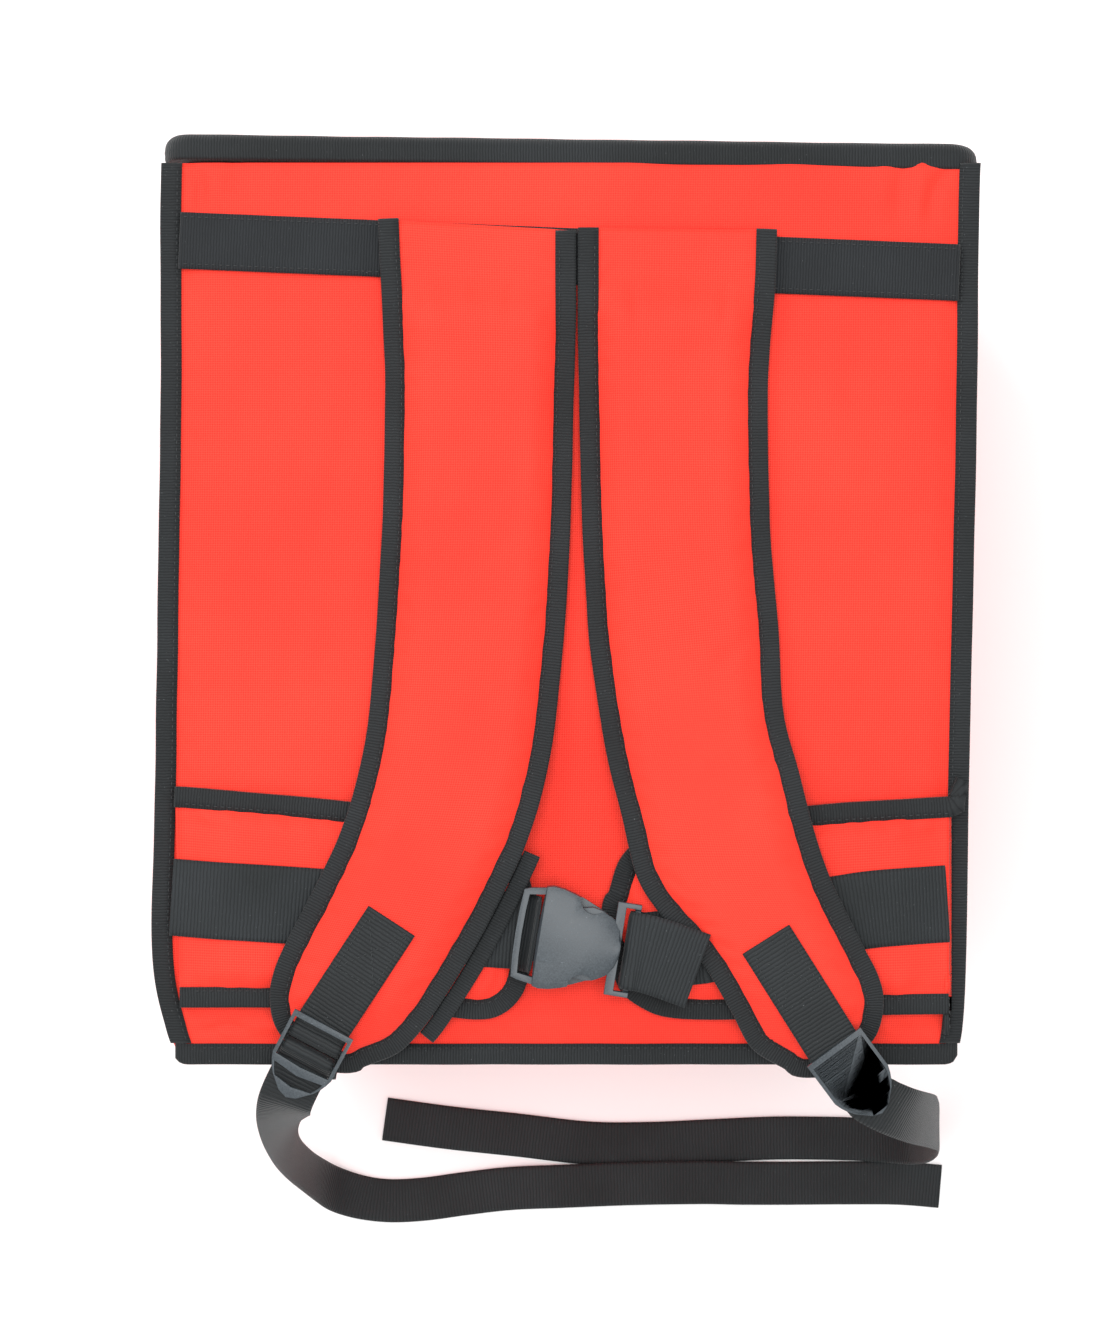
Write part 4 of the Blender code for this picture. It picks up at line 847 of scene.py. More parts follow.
def bag_tapes():
    """Side and bottom tapes of the back panel, the front panel's tape and the corner tapes."""
    y = np.linspace(FOOT + LIP + GAP, LID_LINE - GAP, 200)
    for word, side, seed in (("left", -1, 31), ("right", 1, 41)):
        x = bag_edge(side, y)
        line = np.stack([x, y, 0 * y + BACK_Z], -1)
        tape("side_tape_" + word, line, np.array([[-side, 0.0, 0.0]] * len(y)), (0, 0, 1),
             node="back_binding_" + word, seed=seed)
        seam = line + [-side * (LIP - 0.0018), 0, BOUND + 0.0001]
        stitches("side_tape_stitches_" + word, seam, (0, 0, 1))
    x = np.linspace(bag_edge(-1, FOOT + LIP / 2), bag_edge(1, FOOT + LIP / 2), 200)
    corner = 0.004 * (1 - np.sqrt(np.clip(1 - ((abs(x) - (abs(x).max() - 0.006)).clip(0) / 0.006) ** 2, 0,
                                          1)))
    line = np.stack([x, FOOT + corner, 0 * x + BACK_Z], -1)
    tape("bottom_tape", line, np.array([[0.0, 1.0, 0.0]] * len(x)), (0, 0, 1), node="back_binding_bottom",
         seed=51)
    stitches("bottom_tape_stitches", line[6:-6] + [0, LIP - 0.0018, BOUND + 0.0001], (0, 0, 1))

    # Front tape: down one side, round both corners and up the other
    v = np.linspace(FOOT + 0.016, LID_LINE - GAP, 120)
    start = np.stack([bag_edge(-1, v[::-1]), v[::-1]], -1)
    end = np.stack([bag_edge(1, v), v], -1)
    turns = []
    for point, begin in ((start[-1], 180), (end[0], 270)):
        angle = np.radians(begin + np.linspace(0, 90, 10))[1:-1]
        radius = 0.013
        middle = np.array([point[0] + (radius if begin == 180 else -radius), FOOT + radius])
        turns.append(middle + radius * np.stack([np.cos(angle), np.sin(angle)], -1))
    flat = np.vstack([start, turns[0], np.linspace(turns[0][-1], turns[1][0], 80)[1:-1], turns[1], end])
    along = unit(np.gradient(flat, axis=0))
    inward = np.column_stack([-along[:, 1], along[:, 0], 0 * along[:, 0]])
    line = np.column_stack([flat, np.full(len(flat), TAPE_SET)])
    tape("front_tape", line, inward, (0, 0, 1), node="front_binding", seed=61)

    z = np.linspace(TAPE_SET + BOUND + GAP, BACK_Z - GAP, 120)
    for word, side, seed in (("left", -1, 71), ("right", 1, 81)):
        x = bag_edge(side, FOOT + LIP / 2) - side * (LIP + TAPE_SET)
        line = np.stack([0 * z + x, 0 * z + FOOT, z], -1)
        tape("corner_tape_" + word, line, np.array([[0.0, 1.0, 0.0]] * len(z)), (-side, 0, 0),
             node="corner_binding_" + word, seed=seed)
        stitches("corner_tape_stitches_" + word, line + [side * 0.0001, LIP - 0.0018, 0], (side, 0, 0))


bag_tapes()
print("tapes made")

# %% [markdown]
# ## Lid
# The lid closes the top end. Its rim is a wide tape with a rounded outer corner, and seen from
# above it isn't quite square to the bag: the left end stands up to 2 mm further out and the
# right end hangs back by 3 mm.


# %% Lid and its rim
def lid_shift(x):
    """How far the lid stands out, along its length."""
    return -0.0008 - 0.0022 * x / 0.17


def lid_outline(inset, count=12):
    """Rounded outline in x and z with inward directions, counter-clockwise from the right."""
    left, right = bag_edge(-1, LID_LINE) + inset, bag_edge(1, LID_LINE) - inset
    low, high = TAPE_SET + inset, DEPTH - inset
    radius = max(0.014 - inset, 0.004)
    points, inward = [], []
    for x, z, begin in ((right, high, 0), (left, high, 90), (left, low, 180), (right, low, 270)):
        angle = np.radians(begin + np.linspace(0, 90, count))
        middle = np.array([x - np.sign(x) * radius, z - np.sign(z - DEPTH / 2) * radius])
        points.append(middle + radius * np.stack([np.cos(angle), np.sin(angle)], -1))
        inward.append(-np.stack([np.cos(angle), np.sin(angle)], -1))
        ahead = {0: 60, 90: 50, 180: 60, 270: 50}[begin]
        points.append(np.full((ahead, 2), np.nan))
        inward.append(np.full((ahead, 2), np.nan))
    points, inward = np.vstack(points), np.vstack(inward)
    known = ~np.isnan(points[:, 0])
    index = np.arange(len(points))
    known_at = np.append(index[known], len(points))
    for values in (points, inward):
        for column in range(2):
            values[:, column] = np.interp(index, known_at,
                                          np.append(values[known, column], values[0, column]))
    return points, unit(inward)


def lid():
    """Rim tape and the padded cloth inside it."""
    outline, inward = lid_outline(0.0)
    line = np.stack([outline[:, 0], 0 * outline[:, 0] + LID_LINE, outline[:, 1]], -1)
    line[:, 1] += lid_shift(line[:, 0])
    side = np.stack([inward[:, 0], 0 * inward[:, 0], inward[:, 1]], -1)
    bend = np.linspace(0, np.pi / 2, 7)
    big, small, tall, arm = 0.0062, 0.0016, 0.0122, 0.0100
    low = np.stack([small * (1 - np.sin(bend)), small * (1 - np.cos(bend))], -1)
    high = np.stack([big * (1 - np.cos(bend)), tall - big * (1 - np.sin(bend))], -1)
    middle = np.array([[0.0, 0.0030], [-0.0002, 0.0045]])
    rim = np.vstack([[[arm, 0.0], [0.005, 0.0]], low, middle, high,
                     [[arm, tall - 0.0004], [arm, tall - 0.0014], [0.0066, tall - 0.0012],
                      [0.0030, tall - 0.0042],
                      [0.0012, 0.0058], [0.0012, 0.0022], [0.0030, 0.0012], [arm, 0.0010]]])
    tape("lid_tape", line, side, (0, 1, 0), thick=tall, arm=arm, node="lid_binding", closed=True, seed=91,
         section=rim, material=tape_finish, uneven=0.00025)
    seam, _ = lid_outline(0.0086)
    seam = np.stack([seam[:, 0], LID_LINE + tall + 0.0001 + lid_shift(seam[:, 0]), seam[:, 1]], -1)
    stitches("lid_stitches", np.vstack([seam, seam[:1]]), (0, 1, 0))

    # Cloth: nested copies of the outline, the middle crowned by a few millimetres
    rings = []
    for inset, sunk in ((0.0016, 0.0035), (0.004, 0.0020), (0.0100, 0.0016), (0.013, 0.0004),
                        (0.018, -0.0008), (0.03, -0.0018),
                        (0.06, -0.0030), (0.10, -0.0038), (0.15, -0.0040)):
        points, _ = lid_outline(min(inset, 0.03))
        if inset > 0.03:
            middle = np.array([points[:, 0].mean(), points[:, 1].mean()])
            reach = 1 - (inset - 0.03) / (0.158 - 0.03)
            points = middle + (points - middle) * reach
        rings.append((points, sunk))
    outer = [np.stack([p[:, 0], LID_LINE + tall - s + lid_shift(p[:, 0]) + 0.0007 * ripple(p[:, 0], p[:, 1],
                                                                                           0.12, 95)
                       * ease(-s / 0.001), p[:, 1]], -1) for p, s in rings]
    inner = [np.stack([p[:, 0], 0 * p[:, 0] + LID_LINE + 0.0016 + lid_shift(p[:, 0]), p[:, 1]], -1) for p,
             s in rings[:4]]
    piece = loft("lid_cloth", np.array(inner[::-1] + outer), cloth, "lid_panel")


lid()
print("lid made")

# %% [markdown]
# ## Upper band
# A flat webbing runs across the back panel under the straps. It slopes down a little to the
# right and is sewn along both edges.

# %% Upper band
band_y = place(0.0, (0.1155 + 0.1520) / 2)[1]
band_slope = -(0.1520 - 0.1155) * HEIGHT / WIDTH
band_x = np.linspace(bag_edge(-1, 0.16) + LIP - 0.0005, bag_edge(1, 0.15) - LIP + 0.0005, 140)
band_path = np.stack([band_x, band_y + band_slope * band_x, 0 * band_x + ON_PANEL + WEB / 2], -1)
band_path[:, 2] += 0.0001 * ripple(band_x, 0 * band_x, 0.05, 101)
ribbon("upper_band_cloth", band_path, (0, 1, 0), BAND_WIDTH, band_finish, "upper_band")
for word, side in (("top", 1), ("foot", -1)):
    stitches("upper_band_stitches_" + word,
             band_path + [0, side * (BAND_WIDTH / 2 - 0.0022), WEB / 2 + 0.0001], (0, 0, 1))
print("band made")

# %% [markdown]
# ## Pads with bound edges
# The straps and the belt's wings are foam pads. A pad is described by pairs of points, one on
# each edge, and a rounded end closes it. Its height over its underside depends on how far a
# point is from the edge: flat under the tape, then a round shoulder up to full thickness.


# %% Bound pad
def close_end(pairs, bulge, count=9):
    """Adds chords that shrink to nothing on an arc past the last pair."""
    first, second = pairs[-1, :2], pairs[-1, 2:]
    middle, half = (first + second) / 2, (second - first) / 2
    ahead = middle - (pairs[-2, :2] + pairs[-2, 2:]) / 2
    ahead = ahead - half * (ahead @ half) / (half @ half)
    ahead = ahead / np.linalg.norm(ahead)
    angle = np.linspace(0, np.pi / 2, count + 1)[1:]
    reach = np.sin(angle)[:, None] * bulge * ahead
    width = np.maximum(np.cos(angle), 0.02)[:, None] * half
    return np.vstack([pairs, np.hstack([middle - width + reach, middle + width + reach])])


def outline_of(pairs):
    """Outline down the first edge and back up the second, with inward directions."""
    line = np.vstack([pairs[:, :2], pairs[::-1, 2:]])
    line = evenly(line, 360)
    along = unit(np.gradient(line, axis=0))
    inward = np.column_stack([along[:, 1], -along[:, 0]])
    if ((line.mean(0) - line) * inward).sum() < 0:
        inward = -inward
    smooth = np.ones(7) / 7
    padded = np.pad(inward, ((3, 3), (0, 0)), mode="edge")
    inward = unit(np.stack([np.convolve(column, smooth, "valid") for column in padded.T], -1))
    return line, inward


def edge_distance(x, y, line):
    """Distance of grid points from an outline."""
    points = np.stack([x, y], -1)[..., None, :]
    start, step = line[:-1:2], line[2::2] - line[:-2:2]
    start = start[:len(step)]
    share = ((points - start) * step).sum(-1) / (step ** 2).sum(-1)
    nearest = start + np.clip(share, 0, 1)[..., None] * step
    return np.linalg.norm(points - nearest, axis=-1).min(-1)


def bound_pad(names, pairs, ground, full, shoulder, squeeze, creases, seed):
    """Cloth of a pad and its tape; squeeze is the fullness at each pair."""
    cloth_name, tape_name, cloth_node, tape_node = names
    line, inward = outline_of(pairs)
    share = np.sin(np.linspace(-np.pi / 2, np.pi / 2, 61)) / 2 + 0.5
    inset = EDGE * 1.2
    first, second = pairs[:, :2], pairs[:, 2:]
    width = np.maximum(np.linalg.norm(second - first, axis=1), 1e-6)
    cut = np.minimum(inset / width, 0.45)[:, None]
    share = cut + (1 - 2 * cut) * share
    x = first[:, :1] + (second - first)[:, :1] * share
    y = first[:, 1:] + (second - first)[:, 1:] * share
    far = edge_distance(x, y, line)
    rise = np.clip((far - LIP + 0.0012) / shoulder, 0, 1)
    dome = np.sqrt(1 - (1 - rise) ** 2) * 0.75 + ease(rise) * 0.25
    pressed = EDGE + FLANGE
    pucker = 0.00045 * np.sin(6.28 * lengths(np.stack([x, y], -1), 0) / 0.011 + 2 * ripple(x, y, 0.03, seed))
    pucker = pucker * np.exp(-((far - LIP - 0.003) / 0.0035) ** 2)
    height = pressed + (full * squeeze[:, None] - pressed) * dome
    height += dome * (folds(x, y, creases) + 0.00030 * ripple(x, y, 0.045, seed + 1)) + pucker * (rise > 0)
    under = ground(x, y) + EDGE * (1 - rise)
    rings = np.concatenate([np.stack([x, y, ground(x, y) + height], -1),
                            np.stack([x, y, under], -1)[:, ::-1][:, 1:-1]], 1)
    piece = loft(cloth_name, rings, cloth, cloth_node)
    flat = np.column_stack([line, 0 * line[:, 0]])
    tape(tape_name, flat, np.column_stack([inward, 0 * inward[:, 0]]), (0, 0, 1), ground=ground,
         arm=LIP - 0.0002,
         node=tape_node, seed=seed + 2)
    seam = line + inward * (LIP - 0.0020)
    seam = np.column_stack([seam, ground(seam[:, 0], seam[:, 1]) + BOUND + 0.0001])
    stitches(tape_name + "_stitches", seam[3:-3], (0, 0, 1))


# %% Shoulder straps
STRAP_LEFT = (
    (-0.456, 0.096, 0.0245, 0.108),
    (-0.450, 0.152, 0.0245, 0.159),
    (-0.442, 0.226, 0.0230, 0.231),
    (-0.439, 0.290, 0.0185, 0.290),
    (-0.444, 0.403, 0.0125, 0.403),
    (-0.454, 0.488, 0.0035, 0.488),
    (-0.463, 0.546, -0.0060, 0.546),
    (-0.482, 0.640, -0.0300, 0.646),
    (-0.508, 0.698, -0.0560, 0.704),
    (-0.542, 0.748, -0.0960, 0.761),
    (-0.585, 0.789, -0.149, 0.812),
    (-0.627, 0.826, -0.197, 0.853),
    (-0.670, 0.862, -0.249, 0.893),
    (-0.702, 0.895, -0.295, 0.925),
    (-0.714, 0.925, -0.345, 0.957),
    (-0.700, 0.957, -0.405, 0.984),
    (-0.650, 0.986, -0.490, 1.000),
)
STRAP_RIGHT = (
    (0.511, 0.107, 0.0285, 0.105),
    (0.506, 0.166, 0.0285, 0.163),
    (0.495, 0.231, 0.0290, 0.231),
    (0.489, 0.290, 0.0320, 0.290),
    (0.494, 0.414, 0.0385, 0.414),
    (0.504, 0.477, 0.0475, 0.492),
    (0.516, 0.539, 0.0585, 0.555),
    (0.527, 0.624, 0.0830, 0.630),
    (0.560, 0.682, 0.105, 0.682),
    (0.592, 0.741, 0.134, 0.732),
    (0.629, 0.791, 0.169, 0.794),
    (0.669, 0.829, 0.215, 0.829),
    (0.717, 0.871, 0.279, 0.861),
    (0.751, 0.901, 0.339, 0.895),
    (0.764, 0.930, 0.400, 0.941),
    (0.748, 0.966, 0.450, 0.980),
    (0.690, 0.994, 0.535, 1.004),
)
STRAP_LIFT = np.array((
    (0.09, 1.00, 0.00), (0.19, 1.00, 0.00), (0.23, 0.00, 0.00), (0.60, 0.00, 0.00), (0.68, 0.00, 0.62),
    (0.71, 0.00, 0.86), (0.74, 0.00, 1.03), (0.91, 0.00, 1.03), (0.94, 0.00, 0.80), (0.97, 0.00, 0.42),
    (1.01, 0.00, 0.15),
))
lift_down = np.linspace(0.05, 1.06, 200)
lift_band = np.interp(lift_down, STRAP_LIFT[:, 0], STRAP_LIFT[:, 1])
lift_belt = np.interp(lift_down, STRAP_LIFT[:, 0], STRAP_LIFT[:, 2])
lift_blur = np.hanning(9) / np.hanning(9).sum()
lift_height = lift_band * (ON_BAND - ON_PANEL) + lift_belt * (ON_BELT - ON_PANEL)
lift_height = np.convolve(np.pad(lift_height, 4, mode="edge"), lift_blur, "valid")


def strap_ground(x, y):
    """Underside of the straps over the band, the panel and the belt."""
    return ON_PANEL + np.interp(down_of(y), lift_down, lift_height) + 0 * x


def strap_pairs(table):
    rows = curve(table, 150)
    return np.column_stack([place(rows[:, 0], rows[:, 1]), place(rows[:, 2], rows[:, 3])])


STRAP_CREASES = {
    "left": ((-16, 61, -30, 50, 2.4, -0.9), (-66, 34, -50, 24, 2.6, -0.9), (-22, 30, -34, 20, 3.0, -0.5),
             (-80, -50, -66, -58, 2.4, -0.8), (-88, -72, -72, -80, 2.6, -0.9),
             (-96, -90, -78, -97, 2.8, -0.8),
             (-104, -108, -84, -112, 2.8, -0.9), (-38, -96, -52, -88, 3.0, -0.6),
             (-46, 140, -44, 128, 3.0, 0.6),
             (-24, 141, -26, 124, 2.6, -0.9), (-66, 141, -63, 124, 2.6, -0.9),
             (-60, -80, -40, -20, 9.0, 0.5)),
    "right": ((18, 33, 33, 23, 2.4, -0.9), (81, -20, 66, -30, 2.6, -0.9), (88, -46, 72, -54, 2.6, -0.8),
              (96, -70, 80, -78, 2.6, -0.9), (106, -92, 88, -99, 2.8, -0.9), (116, -112, 96, -118, 2.8, -0.8),
              (24, -60, 38, -66, 3.0, -0.6), (34, -100, 50, -98, 3.0, -0.6), (30, 139, 32, 122, 2.6, -0.9),
              (72, 139, 70, 122, 2.6, -0.9), (50, 138, 50, 126, 3.0, 0.6), (50, -10, 66, -70, 9.0, 0.5)),
}


def straps():
    """Both straps: sewn flat at the top, full from a tenth of the way down."""
    for word, table, seed in (("left", STRAP_LEFT, 111), ("right", STRAP_RIGHT, 121)):
        pairs = close_end(strap_pairs(table), 0.0050)
        down = down_of((pairs[:, 1] + pairs[:, 3]) / 2)
        sewn = 0.42 - 0.07 * np.exp(-((down - 0.152) / 0.006) ** 2)
        squeeze = sewn + (1 - sewn) * ease((down - 0.155) / 0.055)
        bound_pad(("strap_cloth_" + word, "strap_tape_" + word, "strap_" + word, "strap_binding_" + word),
                  pairs,
                  strap_ground, STRAP, 0.0125, squeeze, STRAP_CREASES[word], seed)


straps()
print("straps made")

# %% Wings of the waist belt
WING_LEFT = (
    (-0.935, 0.701, 0.937), (-0.750, 0.708, 0.937), (-0.535, 0.717, 0.939), (-0.330, 0.729, 0.945),
    (-0.210, 0.739, 0.950), (-0.150, 0.752, 0.943), (-0.105, 0.776, 0.922), (-0.082, 0.812, 0.888),
)
WING_RIGHT = (
    (0.950, 0.711, 0.944), (0.760, 0.716, 0.945), (0.584, 0.722, 0.947), (0.390, 0.735, 0.950),
    (0.255, 0.745, 0.948), (0.185, 0.755, 0.938), (0.130, 0.779, 0.918), (0.103, 0.815, 0.880),
)
WING_CREASES = {
    "left": ((-172, -100, -150, -104, 3.0, -1.0), (-172, -178, -150, -172, 3.0, -1.0),
             (-120, -92, -116, -104, 3.0, -0.7),
             (-60, -170, -40, -160, 4.0, -0.6)),
    "right": ((172, -104, 150, -108, 3.0, -1.0), (172, -178, 152, -174, 3.0, -1.0),
              (118, -96, 120, -108, 3.0, -0.7)),
}


def wings():
    """Both wings, squeezed where the side seam holds them."""
    for word, side, table, seed in (("left", -1, WING_LEFT, 131), ("right", 1, WING_RIGHT, 141)):
        rows = curve(table, 90)
        upper, lower = place(rows[:, 0], rows[:, 1]), place(rows[:, 0], rows[:, 2])
        upper[0, 0], lower[0, 0] = (bag_edge(side, y) - side * (LIP + GAP) for y in (upper[0, 1],
                                                                                     lower[0, 1]))
        pairs = close_end(np.column_stack([upper, lower]), 0.0035)
        reach = abs(pairs[:, 0] - pairs[0, 0]) / 0.025
        squeeze = 0.45 + 0.55 * ease(reach)
        bound_pad(("wing_cloth_" + word, "wing_tape_edge_" + word, "waist_wing_" + word,
                   "wing_binding_" + word), pairs,
                  lambda x, y: ON_PANEL + 0 * x, WING, 0.0085, squeeze, WING_CREASES[word], seed)


wings()
print("wings made")

# %% [markdown]
# ## Belt webbing
# The wide webbing lies on the wings. The left one goes into the slot of the buckle's socket.
# The right one turns round the bar of the other half and lies back on itself.


# %% Buckle's own directions and the belt
BUCKLE_TURN = -9.3
BUCKLE_AT = place(0.0195, 0.8637)


def buckle_point(along, across, height):
    """World point of the buckle from its own along, across and height."""
    angle = np.radians(BUCKLE_TURN)
    along, across, height = np.broadcast_arrays(along, across, height)
    x = BUCKLE_AT[0] + along * np.cos(angle) - across * np.sin(angle)
    y = BUCKLE_AT[1] + along * np.sin(angle) + across * np.cos(angle)
    return np.stack([x, y, ON_BELT + height], -1)


def belts():
    """Both lengths of belt webbing, on the wings and through the buckle."""
    across = turned(90.0 + BUCKLE_TURN)
    tables = {"left": ((-0.935, 0.8190), (-0.594, 0.8290), (-0.350, 0.8400), (-0.200, 0.8510)),
              "right": ((0.950, 0.8260), (0.723, 0.8320), (0.500, 0.8510), (0.330, 0.8690))}
    for word, side in (("left", -1), ("right", 1)):
        line = place(*np.array(tables[word]).T)
        line[0, 0] = bag_edge(side, line[0, 1]) - side * (LIP + GAP)
        line = evenly(curve(line, 60), 60)
        reach = np.clip(abs(line[:, 0] - line[0, 0]) / 0.025, 0, 1)
        height = ON_WING + WEB / 2 - 0.55 * WING * (1 - ease(reach))
        runs = np.column_stack([line, height])
        if word == "left":
            ends = buckle_point(np.array([-0.0265, -0.0225, -0.0190, -0.0176]), 0.0,
                                np.array([-0.0011, -0.0002, 0.0028, 0.0062]))
        else:
            ends = buckle_point(np.array([0.0315, 0.0265, 0.0238, 0.0229, 0.0238, 0.0262, 0.0315, 0.0400,
                                          0.0480, 0.0560]),
                                np.array([0, 0, 0, 0, 0, 0, 0, -0.0010, -0.0025, -0.0040]),
                                np.array([-0.0011, -0.0008, 0.0008, 0.0036, 0.0064, 0.0074, 0.0078, 0.0080,
                                          0.0079, 0.0078]))
        ends = curve(ends, 12 * len(ends))
        path = np.vstack([runs, ends])
        turn = np.linspace(0.0, 1.0, len(runs))[:, None]
        level = np.vstack([turned(90.0) * (1 - turn) + across * turn, np.tile(across, (len(ends), 1))])
        far = lengths(path, 0)
        even = np.linspace(0, far[-1], 260)
        path = np.stack([np.interp(even, far, column) for column in path.T], -1)
        level = np.stack([np.interp(even, far, column) for column in level.T], -1)
        ribbon("belt_cloth_" + word, path, level, BELT_WIDTH, belt_finish, "waist_webbing_" + word,
               cup=0.0002)


belts()
print("belt made")

# %% Square-cut tape beside the left strap
inner_edge = strap_pairs(STRAP_LEFT)[:, 2:]
edge_down = down_of(inner_edge[:, 1])
inner_edge = inner_edge[(edge_down > 0.765) & (edge_down < 0.965)]
edge_along = unit(np.gradient(inner_edge, axis=0))
edge_out = np.column_stack([-edge_along[:, 1], edge_along[:, 0], 0 * edge_along[:, 0]])
strip = np.column_stack([inner_edge, strap_ground(inner_edge[:, 0], inner_edge[:, 1]) + TAPE / 2])
ribbon("wing_tape_cloth", strip + edge_out * (0.0038 + GAP), edge_out, 0.0076, tape_finish, "wing_tape_left",
       thick=TAPE)
print("strip made")

# %% [markdown]
# ## Webbing at the ladder locks
# A short webbing is sewn on each strap's end and turns over the lock's first thin bar. The
# other webbing comes from the bottom seam, goes under the lock, up over its second thin bar
# and down again, and leaves as the loose end.


# %% Patches and adjusters
def strap_top(word, points, side):
    """Highest point of the strap's cloth under a strip of webbing."""
    table = STRAP_LEFT if word == "left" else STRAP_RIGHT
    line, _ = outline_of(close_end(strap_pairs(table), 0.0050))
    tops = []
    for share in np.linspace(-0.5, 0.5, 7):
        x, y = (points + share * WEB_WIDTH * side).T
        far = edge_distance(x, y, line)
        rise = np.clip((far - LIP + 0.0012) / 0.0125, 0, 1)
        dome = np.sqrt(1 - (1 - rise) ** 2) * 0.75 + ease(rise) * 0.25
        tops.append(strap_ground(x, y) + EDGE + FLANGE + (STRAP - EDGE - FLANGE) * dome)
    return np.max(tops, axis=0)


def patches():
    """Webbing sewn on the straps' ends, with a boxed seam."""
    for word in ("left", "right"):
        (across, down), turn, start = LOCKS[word]
        origin, begin = place(across, down), place(*start)
        steps = np.linspace(0.0, 0.86, 24)[:, None]
        line = begin * (1 - steps) + origin * steps
        height = strap_top(word, line, turned(turn)[:2]) + 0.0003 + WEB / 2
        height = np.maximum(height, lock_point(word, 0.0, 0.0, -WEB / 2 - 1.5 * GAP)[2])
        height = np.convolve(np.pad(height, 3, mode="edge"), np.ones(7) / 7, "valid")
        t = np.array([0.0, 0.0030, 0.0052, 0.0063, 0.0082, 0.0101, 0.0112])
        h = np.array([-0.00125, -0.00125, -0.00060, 0.00035, 0.00080, 0.00035, -0.00060])
        hook = curve(lock_point(word, t, 0.0, h), 50)
        path = evenly(np.vstack([np.column_stack([line, height]), hook]), 130)
        ribbon("patch_cloth_" + word, path, turned(turn), WEB_WIDTH, web_finish, "patch_" + word)
        side, ahead = turned(turn), unit(np.append(origin - begin, 0.0))
        reach = np.linalg.norm(origin - begin) * 0.55
        flat = [(0.0025, -0.0095), (0.0025, 0.0095), (reach, 0.0095), (reach, -0.0095), (0.0025, -0.0095)]
        box = evenly(np.array(flat), 160)
        top = np.interp(box[:, 0], lengths(np.column_stack([line, height]), 0), height)
        points = np.append(begin, 0.0) + box[:, :1] * ahead + box[:, 1:] * side
        points[:, 2] = top + WEB / 2 + 0.0001
        stitches("patch_stitches_" + word, points, (0, 0, 1), pitch=0.0030)
        cross = np.array([(0.0025, -0.0095), (reach, 0.0095)])
        for number, row in enumerate((cross, cross * [1, -1])):
            row = evenly(row, 60)
            points = np.append(begin, 0.0) + row[:, :1] * ahead + row[:, 1:] * side
            points[:, 2] = np.interp(row[:, 0], lengths(np.column_stack([line, height]), 0),
                                     height) + WEB / 2 + 0.0001
            stitches(f"patch_cross_{word}_{number}", points, (0, 0, 1), pitch=0.0030)


def adjusters():
    """Webbing from the bottom seam through the locks."""
    below = DEPTH - TAPE_SET - BOUND - GAP - WEB / 2
    out = FOOT - 2 * GAP - WEB / 2
    for word in ("left", "right"):
        x = lock_point(word, 0.48 * LOCK_LENGTH, 0.0, 0.0)[0]
        seam = [(x, FOOT + LIP * 0.7, below), (x, FOOT + LIP * 0.1, below),
                (x, out - 0.4 * GAP, below + WEB / 2),
                (x, out - WEB / 2, DEPTH - BOUND / 2), (x, out - WEB / 2, DEPTH + 0.0030),
                (x, out - WEB / 2, DEPTH + 0.0060)]
        t = np.array([0.0178, 0.0148, 0.0133, 0.0146, 0.0162, 0.0178, 0.0192, 0.0206])
        h = np.array([-0.0058, -0.0040, -0.0014, 0.0004, 0.0010, 0.0004, -0.0014, -0.0026])
        path = curve(np.vstack([np.array(seam), lock_point(word, t, 0.0, h)]), 130)
        turn = np.array([0, 0, 0, 0.05, 0.25, 0.55, 0.85] + [1] * (len(t) - 1))
        turn = np.interp(np.linspace(0, len(turn) - 1, 130), np.arange(len(turn)), turn)[:, None]
        across = np.array([1.0, 0.0, 0.0]) * (1 - turn) + turned(LOCKS[word][1]) * turn
        ribbon("adjuster_cloth_" + word, path, across, WEB_WIDTH, web_finish, "adjuster_" + word)


patches()
adjusters()
print("patches and adjusters made")

# %% [markdown]
# ## Plastic parts
# The buckle and the ladder locks are moulded, so each edge has a small radius. A copy of the
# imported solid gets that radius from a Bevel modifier, which catches the light as the real
# edges do.


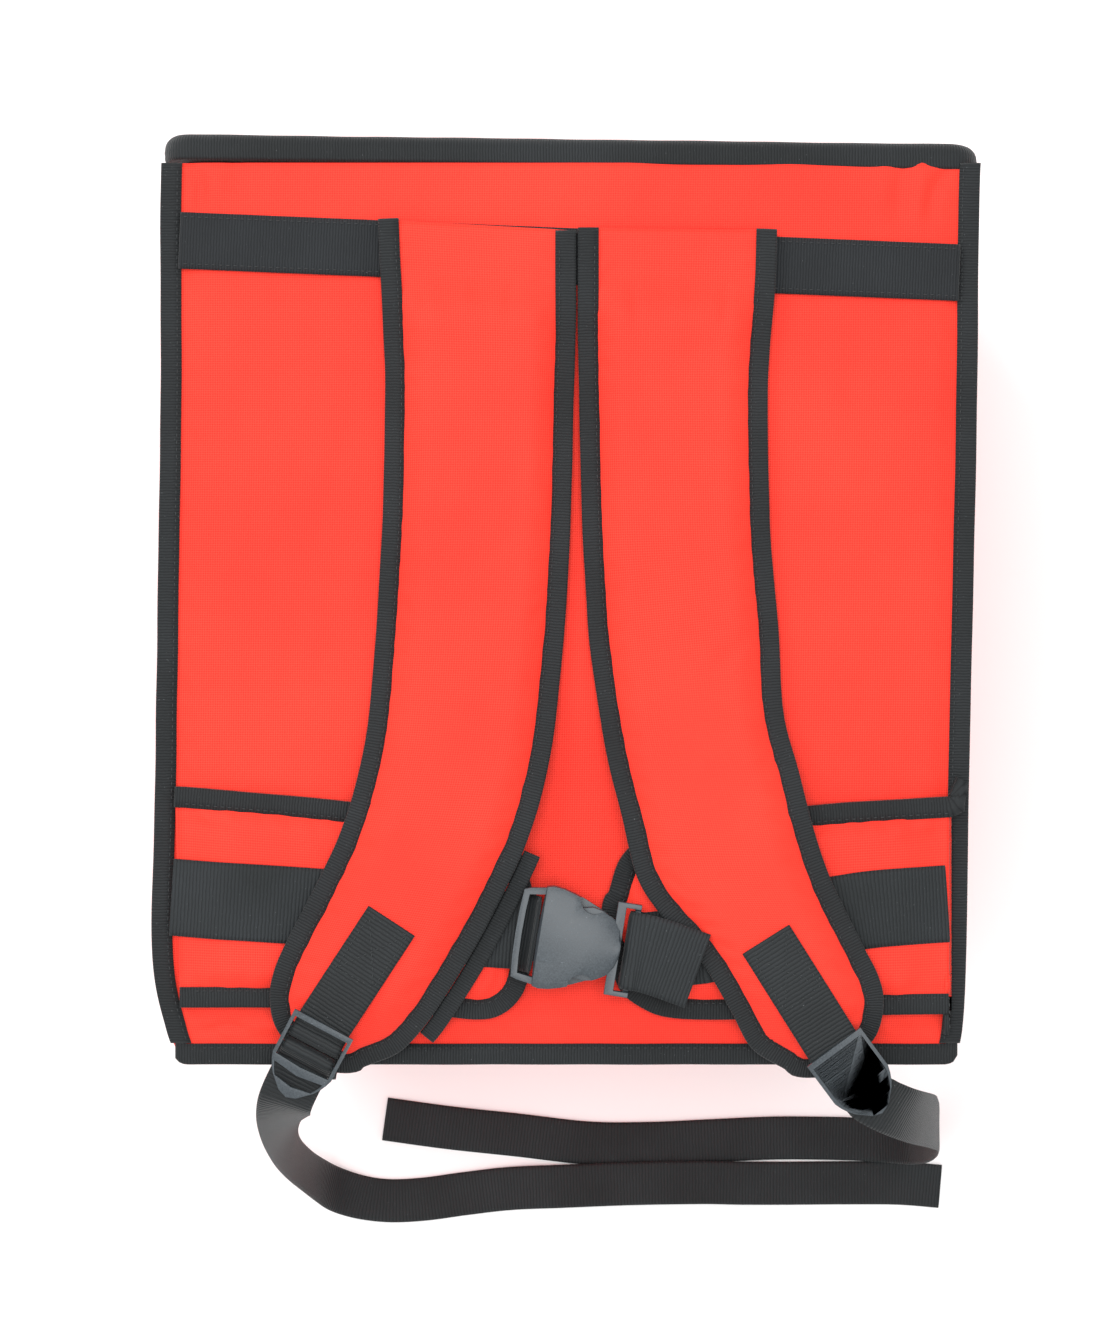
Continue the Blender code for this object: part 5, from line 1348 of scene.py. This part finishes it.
# %% Rounded copies of the plastic solids
def rounded(node, name, width):
    """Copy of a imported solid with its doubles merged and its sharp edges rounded."""
    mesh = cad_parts[node].data.copy()
    shape = bmesh.new()
    shape.from_mesh(mesh)
    bmesh.ops.remove_doubles(shape, verts=shape.verts, dist=0.00002)
    bmesh.ops.dissolve_limit(shape, angle_limit=0.02, verts=shape.verts, edges=shape.edges)
    shape.to_mesh(mesh)
    shape.free()
    mesh.materials.clear()
    mesh.materials.append(plastic)
    mesh.shade_smooth()
    piece = bpy.data.objects.new(name, mesh)
    bpy.context.collection.objects.link(piece)
    bevel = piece.modifiers.new("edges", "BEVEL")
    bevel.width = width
    bevel.segments = 3
    bevel.limit_method = "ANGLE"
    bevel.angle_limit = np.radians(28)
    bevel.harden_normals = True
    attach(piece, "root")
    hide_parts(node)
    return piece


for node, name, width in (("buckle_socket", "socket_shell", 0.0007), ("buckle_prong", "prong_body", 0.0004),
                          ("ladder_lock_left", "lock_left_body", 0.0005),
                          ("ladder_lock_right", "lock_right_body", 0.0005)):
    rounded(node, name, width)
print("plastic made")

# %% [markdown]
# ## Floor and light
# A pale floor meets a pale sky. One broad soft light hangs above the camera and a weaker one
# stands to the upper left, so the pads' shoulders get a soft shade on their lower right.

# %% Floor and light
floor_mesh = bpy.data.meshes.new("floor")
floor_mesh.from_pydata([(-4, -4, 0), (4, -4, 0), (4, 4, 0), (-4, 4, 0)], [], [(0, 1, 2, 3)])
floor = bpy.data.objects.new("floor", floor_mesh)
bpy.context.collection.objects.link(floor)
floor_finish = bpy.data.materials.new("pale_floor")
floor_finish.use_nodes = True
floor_shader = floor_finish.node_tree.nodes["Principled BSDF"]
floor_shader.inputs["Base Color"].default_value = (0.92, 0.92, 0.92, 1.0)
floor_shader.inputs["Roughness"].default_value = 0.9
floor_mesh.materials.append(floor_finish)

world = bpy.data.worlds.new("studio")
world.use_nodes = True
world.node_tree.nodes["Background"].inputs["Color"].default_value = (1.0, 1.0, 1.0, 1.0)
world.node_tree.nodes["Background"].inputs["Strength"].default_value = 0.9
bpy.context.scene.world = world


def soft_light(name, place_at, target, size, power):
    """Square area light aimed at a point."""
    data = bpy.data.lights.new(name, "AREA")
    data.size = size
    data.energy = power
    item = bpy.data.objects.new(name, data)
    item.location = place_at
    item.rotation_euler = (Vector(target) - Vector(place_at)).to_track_quat("-Z", "Y").to_euler()
    bpy.context.collection.objects.link(item)


soft_light("overhead", (0.0, 0.1, 2.6), (0.0, 0.0, 0.3), 1.6, 42.0)
soft_light("upper_left", (-1.5, 1.3, 1.7), (0.0, 0.0, 0.3), 1.0, 20.0)
bpy.context.scene.view_settings.view_transform = "Standard"
